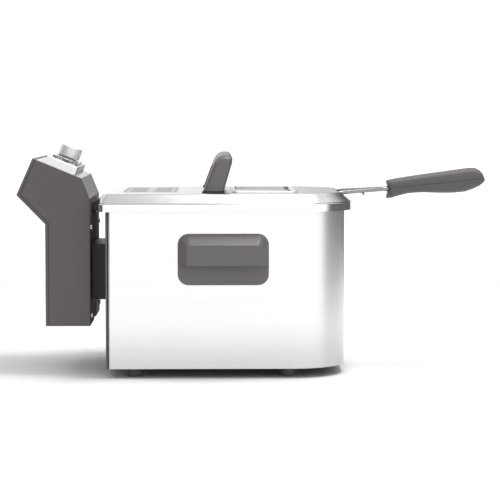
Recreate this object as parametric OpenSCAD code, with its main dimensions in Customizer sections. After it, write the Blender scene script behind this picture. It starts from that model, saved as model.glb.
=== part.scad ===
// Deep fryer: a brushed steel housing with a lift-out oil pot, wire basket,
// lid and a rear control head that carries the heating element.
// +X points to the front, where the basket handle sticks out, and +Z is up.
// The pieces are drawn around the housing's middle and moved to the origin at the end.

/* [Housing] */
// Length of the steel housing, rear panel to front wall
house_len = 287; // [240:1:350]
// Width of the steel housing
house_wid = 240; // [225:1:300]
// Height of the housing's top edge above the table
house_top = 207; // [190:1:250]
// Radius of the two upright front corners
front_r = 65; // [45:1:75]
// Radius of the two upright rear corners
rear_r = 4; // [3:0.5:10]
// Thickness of the steel sheet
sheet = 1; // [0.8:0.1:1.5]
// Wall of the moulded plastic pieces
shell_wall = 2.5; // [2:0.1:3.5]
// Thickness of the rear panel
rear_panel_t = 2; // [1.5:0.5:4]
// Height of the rubber feet
foot_h = 11.4; // [8:0.2:16]
// Diameter of the rubber feet
foot_d = 18; // [12:1:24]

/* [Side handles] */
// Length of a side handle
side_handle_len = 108; // [90:1:130]
// Height of a side handle
side_handle_h = 61; // [54:1:75]
// Height of a side handle's middle above the table
side_handle_z = 142; // [120:1:150]
// How far a side handle stands out
side_handle_out = 17; // [14:1:24]

/* [Oil pot] */
// Air gap between the housing wall and the pot
pot_gap = 12; // [8:1:18]
// Depth of the pot below its rim
pot_depth = 165; // [140:1:180]
// How far the rim reaches out over the housing
rim_over = 8; // [5:0.5:11]
// Height of the rim's outer band
rim_band = 9.5; // [7:0.5:14]

/* [Lid] */
// Height of the lid's sloped edge
lid_rise = 11.5; // [9:0.5:16]
// How far the slope leans in at the front and sides
lid_lean = 12; // [8:0.5:18]
// How far the slope leans in at the rear
lid_lean_rear = 5; // [3:0.5:10]
// Width of the gap in the lid's front for the basket handle
lid_gap = 118; // [100:1:120]
// Length of the viewing window
window_len = 74; // [60:1:84]
// Width of the viewing window
window_wid = 160; // [120:1:164]
// Length of the vent cover
vent_len = 67; // [50:1:68]
// Width of the vent cover
vent_wid = 160; // [100:1:164]
// Height of the lid handle above the lid
lid_handle_h = 46; // [36:1:60]
// Length of the lid handle across the lid
lid_handle_len = 204; // [150:1:210]

/* [Basket] */
// Clear height between the temperature probe and the basket's hoops
basket_over = 15; // [5:1:30]
// Gap between the basket and the pot at the front and sides
basket_gap = 12; // [9:1:18]
// Space kept for the upright part of the heating element
element_bay = 40; // [34:1:50]
// Wire size of the basket frame and the handle rods
rod_d = 5; // [4:0.5:6]
// Length of the basket grip
grip_len = 122; // [100:1:150]
// Greatest height of the basket grip
grip_h = 24; // [20:1:28]
// Width of the basket grip
grip_wid = 28; // [22:1:34]

/* [Control head] */
// Width of the control head
head_wid = 182; // [150:1:200]
// Depth of the control head's lower box
head_deep = 53.5; // [45:0.5:64]
// Height of the control head's underside above the table
head_low = 59.7; // [40:0.1:70]
// Gap between the housing's rear panel and the control head
head_gap = 20; // [16:0.5:28]
// Diameter of the dial
dial_d = 28; // [20:0.5:32]
// Height of the dial
dial_h = 14; // [9:0.5:18]
// Width of the raised control block
block_wid = 138; // [110:1:144]

/* [Heating element] */
// Diameter of the tubular heating element
element_d = 8; // [6.5:0.5:9]
// Distance between the element's runs along the pot's floor
element_pitch = 24; // [20:1:28]

/* [Hidden] */
$fn = 48;
HULL_FN = 32;
EPS = 0.05;            // overlap of a cutting shape past the face that it cuts
fit = 0.1;             // gap between pieces that rest on each other and lift apart
slide_fit = 0.5;       // gap beside pieces that slide past each other
run_fit = 0.06;        // radial gap of a shaft that turns in a bore
screw_r = 1.75;
screw_head_r = 3.4;
screw_head_h = 1.8;

steel = "gainsboro";
dark = "dimgray";
black = "#222426";

hx0 = -house_len / 2;                   // outer face of the rear panel
hx1 = house_len / 2;                    // outer face of the front wall
rim_z = house_top + fit + sheet;        // top face of the rim
pot_x0 = hx0 + pot_gap;
pot_x1 = hx1 - pot_gap;
pot_wid = house_wid - 2 * pot_gap;
pot_fr = front_r - pot_gap;
pot_rr = 14;
pot_floor = rim_z - pot_depth;          // underside of the pot
rim_x0 = hx0 - rim_over;
rim_x1 = hx1 + rim_over;
rim_wid = house_wid + 2 * rim_over;
rim_fr = front_r + rim_over;
rim_rr = rear_r + 3;

lid_z0 = rim_z + fit;                   // lower edge of the lid's slope
lid_z1 = lid_z0 + lid_rise;             // top face of the lid
lid_in = 0.8;                           // the lid's foot stands in from the rim's edge
lid_x0 = rim_x0 + lid_in;
lid_x1 = rim_x1 - lid_in;
lid_wid = rim_wid - 2 * lid_in;
lid_gap_x = lid_x1 - lid_lean - 5;      // the gap for the rods starts here in the lid's top
liner_z = lid_z0 + 1.2;                 // underside of the lid's liner
neck_wid = 100;                         // width of the element's neck over the rim
neck_z = rim_z + 4;                     // top face of the neck
neck_x = pot_x0 + sheet + slide_fit + 4; // the neck's bridge ends here, inside the pot
vent_x = lid_x0 + 25 + vent_len / 2;
handle_x = lid_x0 + 135;                // middle of the lid handle's foot
window_x = handle_x + 24 + window_len / 2;
well_wall = 3;                          // rim of the window's and the vent's frames

basket_x0 = pot_x0 + element_bay;
basket_x1 = pot_x1 - sheet - basket_gap;
basket_wid = pot_wid - 2 * (sheet + basket_gap);
basket_fr = pot_fr - sheet - basket_gap;
basket_rr = 18;
basket_top = rim_z - 8;                 // middle of the basket's rim wire
mesh_t = 2;                             // thickness that stands in for the woven mesh
rod_z = rim_z + 9;                      // height of the handle rods above the rim
rod_spread = 36;                        // half the distance of the rods at the basket
rod_close = 7;                          // half the distance of the rods in the grip
rod_rise = 3;                           // slope of the rods, degrees
rod_x0 = basket_x1 - 1 - rod_d;         // the rods stand inside the basket's rim wire
rod_x1 = hx1 - 6;                       // the rods turn level here
rod_low = basket_top + rod_d;           // the rods leave the basket at this height
rod_climb = atan2(rod_z - rod_low, rod_x1 - rod_x0);
rod_clear = 1.2;                        // gap between the climbing rods and the lid's liner
liner_gap_x = rod_x0 - rod_clear
    + (liner_z - rod_low - rod_d / 2 / cos(rod_climb)) / tan(rod_climb);
grip_x0 = hx1 + 55.5;
grip_x1 = grip_x0 + grip_len;
grip_z = rod_z + (grip_x0 - rod_x1) * tan(rod_rise) + 0.6;

head_x1 = hx0 - head_gap;               // face of the head that looks at the housing
head_x0 = head_x1 - head_deep;
head_r = 3.5;
hood_back = 34;                         // the hood reaches this far behind the lower box
hood_z = [head_low + 122.6, head_low + 157.4, head_low + 201.3];
brow_z = [head_low + 152.6, head_low + 177.5];
brow_in = 10;
hood_in = 14.5;
panel_deg = atan2(hood_z[2] - brow_z[1], head_deep + hood_in - brow_in);
panel_len = norm([head_deep + hood_in - brow_in, hood_z[2] - brow_z[1]]);
panel_x = ((head_x0 - hood_in) + (head_x1 - brow_in)) / 2;
panel_z = (hood_z[2] + brow_z[1]) / 2;
panel_t = 1.5;
panel_edge = 4;                         // plastic edge left beside the panel plate
block_x0 = -panel_len / 2 + 9;
block_x1 = panel_len / 2 - 9;
block_h = 9;
lens_h = 3.3;
lens_len = 32;
lens_wid = 100;
lens_x = 3;
lens_y = -8;
screen_wid = 48;                        // the display under the lens
screen_y = lens_y - lens_wid / 2 + 4 + screen_wid / 2;
dial_x = 1;
dial_y = 14;
dial_z = block_h + lens_h + 0.7;        // underside of the dial
shaft_r = 3;
button_d = 9;

rail_z = [head_low + 28.8, head_low + 96.3];
rail_wid = 110;
rail_stem = 14;
rail_tee = 26;
rail_lip = 4;
rail_step = 6;
rail_seat = 5;                          // wall under the rail screws' heads
tee_x0 = head_x1 + slide_fit - rail_step - rail_lip;      // rear face of the rail's tee
tee_x1 = tee_x0 + rail_lip;                               // front face of the rail's tee
tee_x = (tee_x0 + tee_x1) / 2;
plunger_r = 2;
plunger_z = rail_z[1] + 0.3;            // the plunger's tip, just over the tee
inlet_h = 24;                           // height of the power inlet's moulding

overall = [head_x0 - hood_back, grip_x1];
at_origin = -(overall[0] + overall[1]) / 2;

element_z = pot_floor + sheet + 14;     // middle of the element's flat run
element_bend = 12;                      // radius of the bends that aren't half circles
element_x = pot_x0 + sheet + slide_fit + 6;
element_x1 = pot_x1 - 28;
probe_d = 5;
probe_z = element_z + element_d / 2 + probe_d / 2 + 3;    // middle of the probe's level part
hoop_d = 3;
basket_low = probe_z + probe_d / 2 + basket_over + hoop_d;
basket_depth = basket_top - basket_low;

// ---------- outlines and helpers ----------

// A plan outline with large front corners and small rear corners.
module plan(x0, x1, wid, fr, rr) {
    translate([x0, -wid / 2 + rr]) square([x1 - x0 - fr, wid - 2 * rr]);
    translate([x0 + rr, -wid / 2]) square([x1 - x0 - fr - rr, wid]);
    translate([x1 - fr - EPS, -wid / 2 + fr]) square([fr + EPS, wid - 2 * fr]);
    for (s = [-1, 1]) {
        translate([x0 + rr, s * (wid / 2 - rr)]) circle(r = rr);
        translate([x1 - fr, s * (wid / 2 - fr)]) circle(r = fr);
    }
}

// A rounded rectangle about its middle.
module pad(len, wid, r) {
    square([len - 2 * r, wid], center = true);
    square([len, wid - 2 * r], center = true);
    for (i = [-1, 1], j = [-1, 1])
        translate([i * (len / 2 - r), j * (wid / 2 - r)]) circle(r = r);
}

// A flat ring or tube between two rounded rectangles.
module frame_ring(len, wid, r, band, h) {
    difference() {
        linear_extrude(h) pad(len, wid, r);
        translate([0, 0, -EPS]) linear_extrude(h + 2 * EPS)
            pad(len - 2 * band, wid - 2 * band, max(r - band, 0.6));
    }
}

// A straight round wire from a to b.
module wire(a, b, d) {
    v = b - a;
    translate(a)
        rotate([0, acos(v[2] / norm(v)), atan2(v[1], v[0])])
            cylinder(d = d, h = norm(v));
}

// A wire through several points, with a slightly fuller ball at each turn.
module wire_path(pts, d) {
    ball = 1.04;
    for (i = [0 : len(pts) - 2]) wire(pts[i], pts[i + 1], d);
    if (len(pts) > 2) for (i = [1 : len(pts) - 2]) translate(pts[i]) sphere(d = ball * d);
}

// A loop of wire along the plan outline.
module wire_loop(x0, x1, wid, fr, rr, d) {
    translate([x0 + rr, wid / 2, 0]) rotate([0, 90, 0]) cylinder(d = d, h = x1 - x0 - fr - rr);
    translate([x0 + rr, -wid / 2, 0]) rotate([0, 90, 0]) cylinder(d = d, h = x1 - x0 - fr - rr);
    translate([x0, -wid / 2 + rr, 0]) rotate([-90, 0, 0]) cylinder(d = d, h = wid - 2 * rr);
    translate([x1, -wid / 2 + fr, 0]) rotate([-90, 0, 0]) cylinder(d = d, h = wid - 2 * fr);
    for (c = [[x0 + rr, wid / 2 - rr, rr, 90], [x0 + rr, -wid / 2 + rr, rr, 180],
              [x1 - fr, wid / 2 - fr, fr, 0], [x1 - fr, -wid / 2 + fr, fr, 270]])
        translate([c[0], c[1], 0]) rotate([0, 0, c[3]])
            rotate_extrude(angle = 90) translate([c[2], 0]) circle(d = d, $fn = 24);
}

// A countersunk-looking pan screw that points along +Z from its head at z = 0.
module screw(len) {
    difference() {
        translate([0, 0, -screw_head_h]) cylinder(r = screw_head_r, h = screw_head_h);
        for (a = [0, 90]) rotate([0, 0, a])
            translate([-2, -0.45, -screw_head_h - EPS]) cube([4, 0.9, 1]);
    }
    cylinder(r = screw_r, h = len);
}

function unit(v) = v / norm(v);

// Moves from the sloped control panel's own frame: x down the slope, z out of it.
module on_panel(x = 0, y = 0, z = 0) {
    translate([panel_x, 0, panel_z]) rotate([0, panel_deg, 0]) translate([x, y, z]) children();
}

// ---------- housing ----------

module outer_housing() {
    x0 = hx0 + rear_panel_t;
    color(steel) difference() {
        translate([0, 0, foot_h]) linear_extrude(house_top - foot_h) difference() {
            plan(x0, hx1, house_wid, front_r, rear_r);
            plan(x0 + sheet, hx1 - sheet, house_wid - 2 * sheet, front_r - sheet, rear_r - sheet);
            translate([x0 - EPS, -house_wid / 2 + rear_r]) square([sheet + 2 * EPS, house_wid - 2 * rear_r]);
        }
        for (s = [-1, 1]) side_handle_holes(s);
    }
}

module side_handle_holes(s) {
    for (i = [-1, 1]) translate([-4 + i * (side_handle_len / 2 - 14), s * house_wid / 2, side_handle_z])
        rotate([90, 0, 0]) translate([0, 0, -4]) cylinder(r = screw_r + 0.1, h = 8);
}

module rear_panel() {
    lip = 8;
    color(dark) difference() {
        union() {
            translate([hx0, -house_wid / 2, foot_h])
                cube([rear_panel_t, house_wid, house_top - foot_h - 1]);
            translate([hx0 + rear_panel_t, -house_wid / 2 + rear_r + 1, foot_h + 6])
                difference() {
                    cube([lip, house_wid - 2 * rear_r - 2, house_top - foot_h - 10]);
                    translate([-EPS, shell_wall, shell_wall])
                        cube([lip + 2 * EPS, house_wid - 2 * rear_r - 2 - 2 * shell_wall,
                              house_top - foot_h - 10 - 2 * shell_wall]);
                }
        }
        for (i = [-1, 1], z = [rail_z[0] + 12, rail_z[1] - 12])
            translate([hx0 - 1, i * (rail_wid / 2 - 10), z]) rotate([0, 90, 0])
                cylinder(r = screw_r + 0.1, h = rear_panel_t + 2);
    }
}

module base_plate() {
    inset = sheet + 0.2;
    color(black) difference() {
        translate([0, 0, foot_h]) linear_extrude(3)
            plan(hx0 + rear_panel_t + inset, hx1 - inset, house_wid - 2 * inset,
                 front_r - inset, rear_r);
        for (i = [-4 : 4]) translate([i * 14, 0, foot_h - 1]) linear_extrude(5) pad(5, 90, 2.4);
        for (p = foot_places) translate([p[0], p[1], foot_h - 1]) cylinder(r = screw_r + 0.1, h = 6);
    }
}

foot_places = [for (x = [hx0 + 33, hx1 - 70], y = [-1, 1]) [x, y * (house_wid / 2 - 25)]];

module feet() {
    color(black) for (p = foot_places) translate([p[0], p[1], 0]) difference() {
        union() {
            cylinder(d = foot_d - 3, h = 1.5);
            translate([0, 0, 1.5]) cylinder(d = foot_d, h = foot_h - 1.5);
        }
        translate([0, 0, -EPS]) cylinder(r = screw_head_r + 0.2, h = 4 + 2 * EPS);
        cylinder(r = screw_r + 0.1, h = foot_h + 1);
    }
}

module base_screws() {
    color(steel) for (p = foot_places) translate([p[0], p[1], 4]) screw(foot_h + 2);
}

// ---------- side handles ----------

// The grip hood is open below, so that fingers reach up behind it.
module side_handle(s) {
    half = side_handle_len / 2;
    lip_z = side_handle_z - side_handle_h / 2 + 23;
    color(dark) translate([-4, s * house_wid / 2, 0]) mirror([0, s < 0 ? 1 : 0, 0]) difference() {
        union() {
            translate([0, 0, side_handle_z]) rotate([-90, 0, 0])
                linear_extrude(3) pad(side_handle_len, side_handle_h, 13);
            hull() {
                translate([0, 2.8, side_handle_z]) rotate([-90, 0, 0]) linear_extrude(0.2)
                    pad(side_handle_len - 1, side_handle_h - 1, 12.5, $fn = HULL_FN);
                translate([0, side_handle_out - 1, side_handle_z]) rotate([-90, 0, 0])
                    linear_extrude(1) pad(side_handle_len - 19, side_handle_h - 18, 6, $fn = HULL_FN);
            }
        }
        hull() {
            translate([0, 2.9, side_handle_z - 3]) rotate([-90, 0, 0]) linear_extrude(0.2)
                pad(side_handle_len - 10, side_handle_h - 14, 9, $fn = HULL_FN);
            translate([0, side_handle_out - 4, side_handle_z - 3]) rotate([-90, 0, 0])
                linear_extrude(0.2) pad(side_handle_len - 26, side_handle_h - 26, 4, $fn = HULL_FN);
        }
        translate([-half - 1, 3, side_handle_z - side_handle_h / 2 - 1])
            cube([side_handle_len + 2, side_handle_out, lip_z - side_handle_z + side_handle_h / 2 + 1]);
        for (i = [-1, 1]) translate([i * (half - 14), 4, side_handle_z]) rotate([90, 0, 0])
            cylinder(r = screw_r + 0.1, h = 6);
    }
}

module side_handle_left() side_handle(-1);
module side_handle_right() side_handle(1);

module handle_bracket(s) {
    color(steel) difference() {
        translate([-4, s * (house_wid / 2 - sheet - 0.75), side_handle_z]) rotate([90, 0, 0])
            translate([0, 0, -0.75]) linear_extrude(1.5) pad(side_handle_len - 4, 22, 4);
        side_handle_holes(s);
    }
}

module handle_bracket_left() handle_bracket(-1);
module handle_bracket_right() handle_bracket(1);

module side_handle_screws() {
    color(steel) for (s = [-1, 1], i = [-1, 1])
        translate([-4 + i * (side_handle_len / 2 - 14), s * (house_wid / 2 - sheet - 1.5), side_handle_z])
            rotate([s > 0 ? -90 : 90, 0, 0]) screw(4.4);
}

// ---------- rail bracket that the head slides down on ----------

module rail_bracket() {
    deep = head_gap - slide_fit;
    color(black) difference() {
        union() {
            translate([hx0 - deep, -rail_wid / 2, rail_z[0]])
                cube([deep, rail_wid, rail_z[1] - rail_z[0]]);
            translate([tee_x1 - EPS, -rail_stem / 2, rail_z[0] + 4])
                cube([rail_step + 2 * EPS, rail_stem, rail_z[1] - rail_z[0] - 4]);
            translate([tee_x0, -rail_tee / 2, rail_z[0] + 4])
                cube([rail_lip, rail_tee, rail_z[1] - rail_z[0] - 4]);
        }
        for (s = [-1, 1]) translate([hx0 - deep - EPS, s > 0 ? 18 : -rail_wid / 2 + 4, rail_z[0] + 4])
            difference() {
                cube([deep - 3, rail_wid / 2 - 22, rail_z[1] - rail_z[0] - 8]);
                for (z = [8, 51.5]) translate([-1, (rail_wid / 2 - 22) / 2 + s * 6, z])
                    rotate([0, 90, 0]) cylinder(r = 5, h = deep + 2);
            }
        for (i = [-1, 1], z = [rail_z[0] + 12, rail_z[1] - 12])
            translate([hx0 - deep - 1, i * (rail_wid / 2 - 10), z]) rotate([0, 90, 0]) {
                cylinder(r = screw_r + 0.1, h = deep + 2);
                cylinder(r = screw_head_r + 0.2, h = deep + 1 - rail_seat);
            }
    }
}

module rail_screws() {
    color(steel) for (i = [-1, 1], z = [rail_z[0] + 12, rail_z[1] - 12])
        translate([hx0 - rail_seat, i * (rail_wid / 2 - 10), z]) rotate([0, 90, 0]) screw(10);
}

// ---------- oil pot ----------

module oil_pot() {
    wall = sheet;
    color("silver") translate([0, 0, pot_floor]) difference() {
        linear_extrude(pot_depth) plan(pot_x0, pot_x1, pot_wid, pot_fr, pot_rr);
        translate([0, 0, wall]) linear_extrude(pot_depth)
            plan(pot_x0 + wall, pot_x1 - wall, pot_wid - 2 * wall, pot_fr - wall, pot_rr - wall);
    }
}

// The rim is a flat collar with a band turned down outside the housing.
module pot_rim() {
    color(steel) {
        translate([0, 0, rim_z - sheet]) linear_extrude(sheet) difference() {
            plan(rim_x0, rim_x1, rim_wid, rim_fr, rim_rr);
            plan(pot_x0, pot_x1, pot_wid, pot_fr, pot_rr);
        }
        translate([0, 0, rim_z - rim_band]) linear_extrude(rim_band - sheet) difference() {
            plan(rim_x0, rim_x1, rim_wid, rim_fr, rim_rr);
            plan(rim_x0 + sheet, rim_x1 - sheet, rim_wid - 2 * sheet, rim_fr - sheet, rim_rr - sheet);
        }
    }
}

// A folded saddle on the rim's front, which the basket's handle rods lie on.
module handle_rest() {
    wid = lid_gap - 10;
    top = rod_z - rod_d / 2 - fit;
    color(steel) difference() {
        rotate([90, 0, 0]) translate([0, 0, -wid / 2]) linear_extrude(wid)
            polygon([[rim_x1 - 12, rim_z], [rim_x1 - 12, top - 1.5], [rim_x1 - 11, top],
                     [rim_x1 - 8, top], [rim_x1 + 3, rim_z - 1], [rim_x1 + 4, rim_z - 2.5],
                     [rim_x1 + 4, rim_z - rim_band], [rim_x1, rim_z - rim_band], [rim_x1, rim_z]]);
        rotate([90, 0, 0]) translate([0, 0, -wid / 2 + sheet]) linear_extrude(wid - 2 * sheet)
            polygon([[rim_x1 - 11, rim_z - 1], [rim_x1 - 11, top - 1.8], [rim_x1 - 10.4, top - 1],
                     [rim_x1 - 8.4, top - 1], [rim_x1 + 2.3, rim_z - 1.6], [rim_x1 + 3, rim_z - 2.8],
                     [rim_x1 + 3, rim_z - rim_band - 1], [rim_x1 - EPS, rim_z - rim_band - 1],
                     [rim_x1 - EPS, rim_z - 1]]);
    }
}

// ---------- lid ----------

// The lid's outside as one solid; "in" shrinks it by a wall.
module lid_form(in) {
    hull() {
        translate([0, 0, lid_z0 - (in > 0 ? EPS : 0)]) linear_extrude(0.6)
            plan(lid_x0 + in, lid_x1 - in, lid_wid - 2 * in, rim_fr - lid_in - in,
                 rim_rr, $fn = HULL_FN * 2);
        translate([0, 0, lid_z1 - in - 0.4]) linear_extrude(0.4)
            plan(lid_x0 + lid_lean_rear + in, lid_x1 - lid_lean - in,
                 lid_wid - 2 * lid_lean - 2 * in, rim_fr - lid_lean - in, rim_rr, $fn = HULL_FN * 2);
    }
}

module gap_cut(x) {
    translate([x, -lid_gap / 2, lid_z0 - 30]) cube([100, lid_gap, 80]);
}

module neck_cut() {
    translate([lid_x0 - 10, -neck_wid / 2 - 2, lid_z0 - 30])
        cube([neck_x + slide_fit - lid_x0 + 10, neck_wid + 4, 30 + neck_z - lid_z0 + 0.6]);
}

module lid_shell() {
    color(steel) difference() {
        lid_form(0);
        lid_form(sheet);
        gap_cut(lid_gap_x);
        neck_cut();
        translate([window_x, 0, lid_z1 - 4]) linear_extrude(8) pad(window_len, window_wid, 8);
        translate([vent_x, 0, lid_z1 - 4]) linear_extrude(8) pad(vent_len, vent_wid, 6);
        lid_handle_holes();
    }
}

module lid_handle_holes() {
    for (s = [-1, 1]) translate([handle_x, s * (lid_handle_len / 2 - 11), lid_z0 - 5])
        cylinder(r = screw_r + 0.1, h = 30);
}

liner_in = 3;          // the liner's skirt stands inside the pot's wall

module lid_liner() {
    color("silver") difference() {
        union() {
            translate([0, 0, liner_z]) linear_extrude(sheet)
                plan(pot_x0 - 4, pot_x1 + 4, pot_wid + 8, pot_fr + 4, pot_rr);
            translate([0, 0, liner_z - 7]) linear_extrude(7 + EPS) difference() {
                plan(pot_x0 + liner_in, pot_x1 - liner_in, pot_wid - 2 * liner_in,
                     pot_fr - liner_in, pot_rr - liner_in);
                plan(pot_x0 + liner_in + sheet, pot_x1 - liner_in - sheet,
                     pot_wid - 2 * (liner_in + sheet), pot_fr - liner_in - sheet,
                     pot_rr - liner_in - sheet);
            }
        }
        gap_cut(liner_gap_x);
        neck_cut();
        translate([window_x, 0, liner_z - 4]) linear_extrude(8) pad(window_len, window_wid, 8);
        translate([vent_x, 0, liner_z - 4]) linear_extrude(8) pad(vent_len, vent_wid, 6);
        lid_handle_holes();
    }
}

// The seal lies under the liner's edge, on the rim.
module lid_seal() {
    color("dimgray") difference() {
        translate([0, 0, lid_z0]) linear_extrude(liner_z - lid_z0) difference() {
            plan(pot_x0 - 3.5, pot_x1 + 3.5, pot_wid + 7, pot_fr + 3.5, pot_rr);
            plan(pot_x0 + 0.5, pot_x1 - 0.5, pot_wid - 1, pot_fr - 0.5, pot_rr - 0.5);
        }
        gap_cut(liner_gap_x);
        neck_cut();
    }
}

module window_frame() {
    lip = 3;
    color(steel) translate([window_x, 0, 0]) {
        translate([0, 0, liner_z]) frame_ring(window_len, window_wid, 8, well_wall, lid_z1 - liner_z);
        translate([0, 0, lid_z1]) frame_ring(window_len + 2 * lip, window_wid + 2 * lip, 9,
                                             well_wall + lip, 1.2);
        translate([0, 0, lid_z1 - 6.5]) frame_ring(window_len - 2 * well_wall,
                                                   window_wid - 2 * well_wall, 5, 2.5, 2);
    }
}

module window_glass() {
    color([0.8, 0.88, 0.86, 0.4]) translate([window_x, 0, lid_z1 - 4.5]) linear_extrude(3.5)
        pad(window_len - 2 * well_wall, window_wid - 2 * well_wall, 5);
}

module vent_frame() {
    floor_t = 1.5;
    color(black) translate([vent_x, 0, liner_z]) difference() {
        linear_extrude(lid_z1 - liner_z) pad(vent_len, vent_wid, 6);
        translate([0, 0, floor_t]) linear_extrude(40)
            pad(vent_len - 2 * well_wall, vent_wid - 2 * well_wall, 4);
        for (i = [-3 : 3], j = [-4 : 4]) translate([i * 8, j * 15, -1])
            cylinder(d = 5, h = 5, $fn = 16);
    }
}

module vent_cover() {
    wid = vent_wid - 2 * well_wall - 2 * slide_fit;
    len = vent_len - 2 * well_wall - 2 * slide_fit;
    slots = floor((wid - 20) / 9);
    color("gray") translate([vent_x, 0, lid_z1 - 2]) difference() {
        linear_extrude(2) pad(len, wid, 3.5);
        for (j = [0 : slots - 1], i = [-1, 1])
            translate([i * len / 4, (j - (slots - 1) / 2) * 9, -1])
                linear_extrude(4) pad(len / 2 - 9, 3.2, 1.5);
    }
}

module filter_pad() {
    wid = vent_wid - 2 * well_wall - 2;
    len = vent_len - 2 * well_wall - 2;
    z0 = liner_z + 1.5;
    color("darkgray") translate([vent_x, 0, z0]) linear_extrude(lid_z1 - 2 - fit - z0) pad(len, wid, 3);
}

// A bar across the lid on two legs, leaning to the front.
module lid_handle() {
    lean = 14;
    leg = 25;
    bar = 22;
    half = lid_handle_len / 2;
    top = lid_z1 + lid_handle_h;
    color(dark) difference() {
        hull() {
            translate([handle_x, 0, lid_z1 + 2]) linear_extrude(0.4)
                pad(leg, lid_handle_len, 5, $fn = HULL_FN);
            translate([handle_x + lean - 2, 0, top - 9]) linear_extrude(0.4)
                pad(bar, lid_handle_len - 4, 8, $fn = HULL_FN);
            translate([handle_x + lean, 0, top - 2.5]) linear_extrude(0.3)
                pad(bar - 7, lid_handle_len - 16, 6, $fn = HULL_FN);
            translate([handle_x + lean, 0, top - 0.3]) linear_extrude(0.3)
                pad(bar - 14, lid_handle_len - 26, 3.5, $fn = HULL_FN);
        }
        translate([handle_x - 40, -half + 18, lid_z1 - 1]) rotate([90, 0, 90]) linear_extrude(80)
            translate([(lid_handle_len - 36) / 2, (lid_handle_h - 15) / 2])
                pad(lid_handle_len - 36, lid_handle_h - 15, 8);
        for (s = [-1, 1]) translate([handle_x, s * (half - 11), lid_z1 + 1]) cylinder(r = screw_r, h = 16);
    }
}

module lid_handle_base() {
    color(black) for (s = [-1, 1])
        translate([handle_x, s * (lid_handle_len / 2 - 11), lid_z1]) difference() {
            linear_extrude(2) pad(27, 22, 5);
            translate([0, 0, -1]) cylinder(r = screw_r + 0.1, h = 4);
        }
}

module lid_handle_screws() {
    color(steel) for (s = [-1, 1]) translate([handle_x, s * (lid_handle_len / 2 - 11), liner_z - 0.2])
        screw(lid_z1 - liner_z + 12);
}

// ---------- basket ----------

module basket_mesh() {
    color("silver") translate([0, 0, basket_low]) difference() {
        linear_extrude(basket_depth - 1)
            plan(basket_x0, basket_x1, basket_wid, basket_fr, basket_rr);
        translate([0, 0, mesh_t]) linear_extrude(basket_depth)
            plan(basket_x0 + mesh_t, basket_x1 - mesh_t, basket_wid - 2 * mesh_t,
                 basket_fr - mesh_t, basket_rr - mesh_t);
    }
}

module basket_rim() {
    color(steel) translate([0, 0, basket_top + rod_d / 2 - 1])
        wire_loop(basket_x0 + 1, basket_x1 - 1, basket_wid - 2, basket_fr - 1, basket_rr - 1, rod_d);
}

// Two hoops of thinner wire under and beside the mesh.
module basket_hoops() {
    half = basket_wid / 2 + hoop_d / 2;
    low = basket_low - hoop_d / 2;
    color(steel) for (x = [basket_x0 + 35, basket_x1 - basket_fr - 5])
        wire_path([[x, -half, basket_top - 3], [x, -half, low], [x, half, low],
                   [x, half, basket_top - 3]], hoop_d);
}

// The hook hangs the basket on the pot's rear to drain.
module basket_hook() {
    d = 4;
    x = basket_x0 + 1 - rod_d / 2 - d / 2;
    color(steel) {
        for (s = [-1, 1]) wire_path([[x, s * 30, basket_top - 40], [x, s * 30, rim_z - 1.5],
                                     [x - 13, s * 30, rim_z - 1.5]], d);
        wire_path([[x - 13, -30, rim_z - 1.5], [x - 13, 30, rim_z - 1.5]], d);
        for (s = [-1, 1]) translate([x - 13, s * 30, rim_z - 1.5]) sphere(d = 1.04 * d);
    }
}

// Each rod climbs from the basket's front, crosses the rim and runs into the grip.
module handle_rods() {
    color(steel) for (s = [-1, 1]) wire_path([
        [rod_x0, s * rod_spread, basket_top - 22],
        [rod_x0, s * rod_spread, rod_low],
        [rod_x1, s * (rod_spread - 6), rod_z],
        [grip_x0, s * rod_close, grip_z],
        [grip_x0 + 34, s * rod_close, grip_z + 34 * tan(rod_rise)]], rod_d);
}

// A short wire across the rods, where they draw together.
module rod_brace() {
    x = grip_x0 - 29;
    t = (x - rod_x1) / (grip_x0 - rod_x1);
    y = rod_spread - 6 + t * (rod_close - rod_spread + 6);
    z = rod_z + t * (grip_z - rod_z) - rod_d / 2 - 1.5;
    color(steel) wire([x, -y - 3, z], [x, y + 3, z], 3);
}

// The grip's side outline, from its rod end to its tip, for a length l and a height h.
function grip_profile(l, h) = [for (p = [
    [0, -0.5], [3, 0], [-1, 0.4375], [12, 0.5417], [38, 0.7083], [l - 17, 1.0833], [l - 9, 1.0833],
    [l - 1, 0.75], [l, 0.4167], [l - 6, 0.125], [l - 26, -0.1667], [l - 48, -0.2292],
    [46, -0.1875], [26, -0.2292], [4, -0.5]]) [p[0], p[1] * h]];

module grip_form() {
    intersection() {
        translate([grip_x0, grip_wid / 2, grip_z]) rotate([90, 0, 0]) linear_extrude(grip_wid)
            offset(r = 2, $fn = 16) offset(delta = -2) polygon(grip_profile(grip_len, grip_h));
        translate([grip_x0 - 3, 0, grip_z - 20]) linear_extrude(60) union() {
            translate([grip_len / 2, 0]) pad(grip_len + 6, grip_wid, grip_wid / 2 - 4);
        }
    }
}

module grip_split(side) {
    rise = atan2(0.52 * grip_h, grip_len);
    translate([grip_x0 - 10, -grip_wid, grip_z - 0.4]) rotate([0, -rise, 0])
        translate([0, 0, side > 0 ? 0.15 : -60.15]) cube([grip_len + 40, 2 * grip_wid, 60]);
}

module grip_bores(r) {
    for (s = [-1, 1]) wire([grip_x0 - 3, s * rod_close, grip_z - 3 * tan(rod_rise)],
                           [grip_x0 + 34.2, s * rod_close, grip_z + 34.2 * tan(rod_rise)], 2 * r);
}

grip_screw_x = [grip_x0 + 56, grip_x0 + 96];
grip_screw_z = [grip_z - 2, grip_z + 4];

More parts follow.
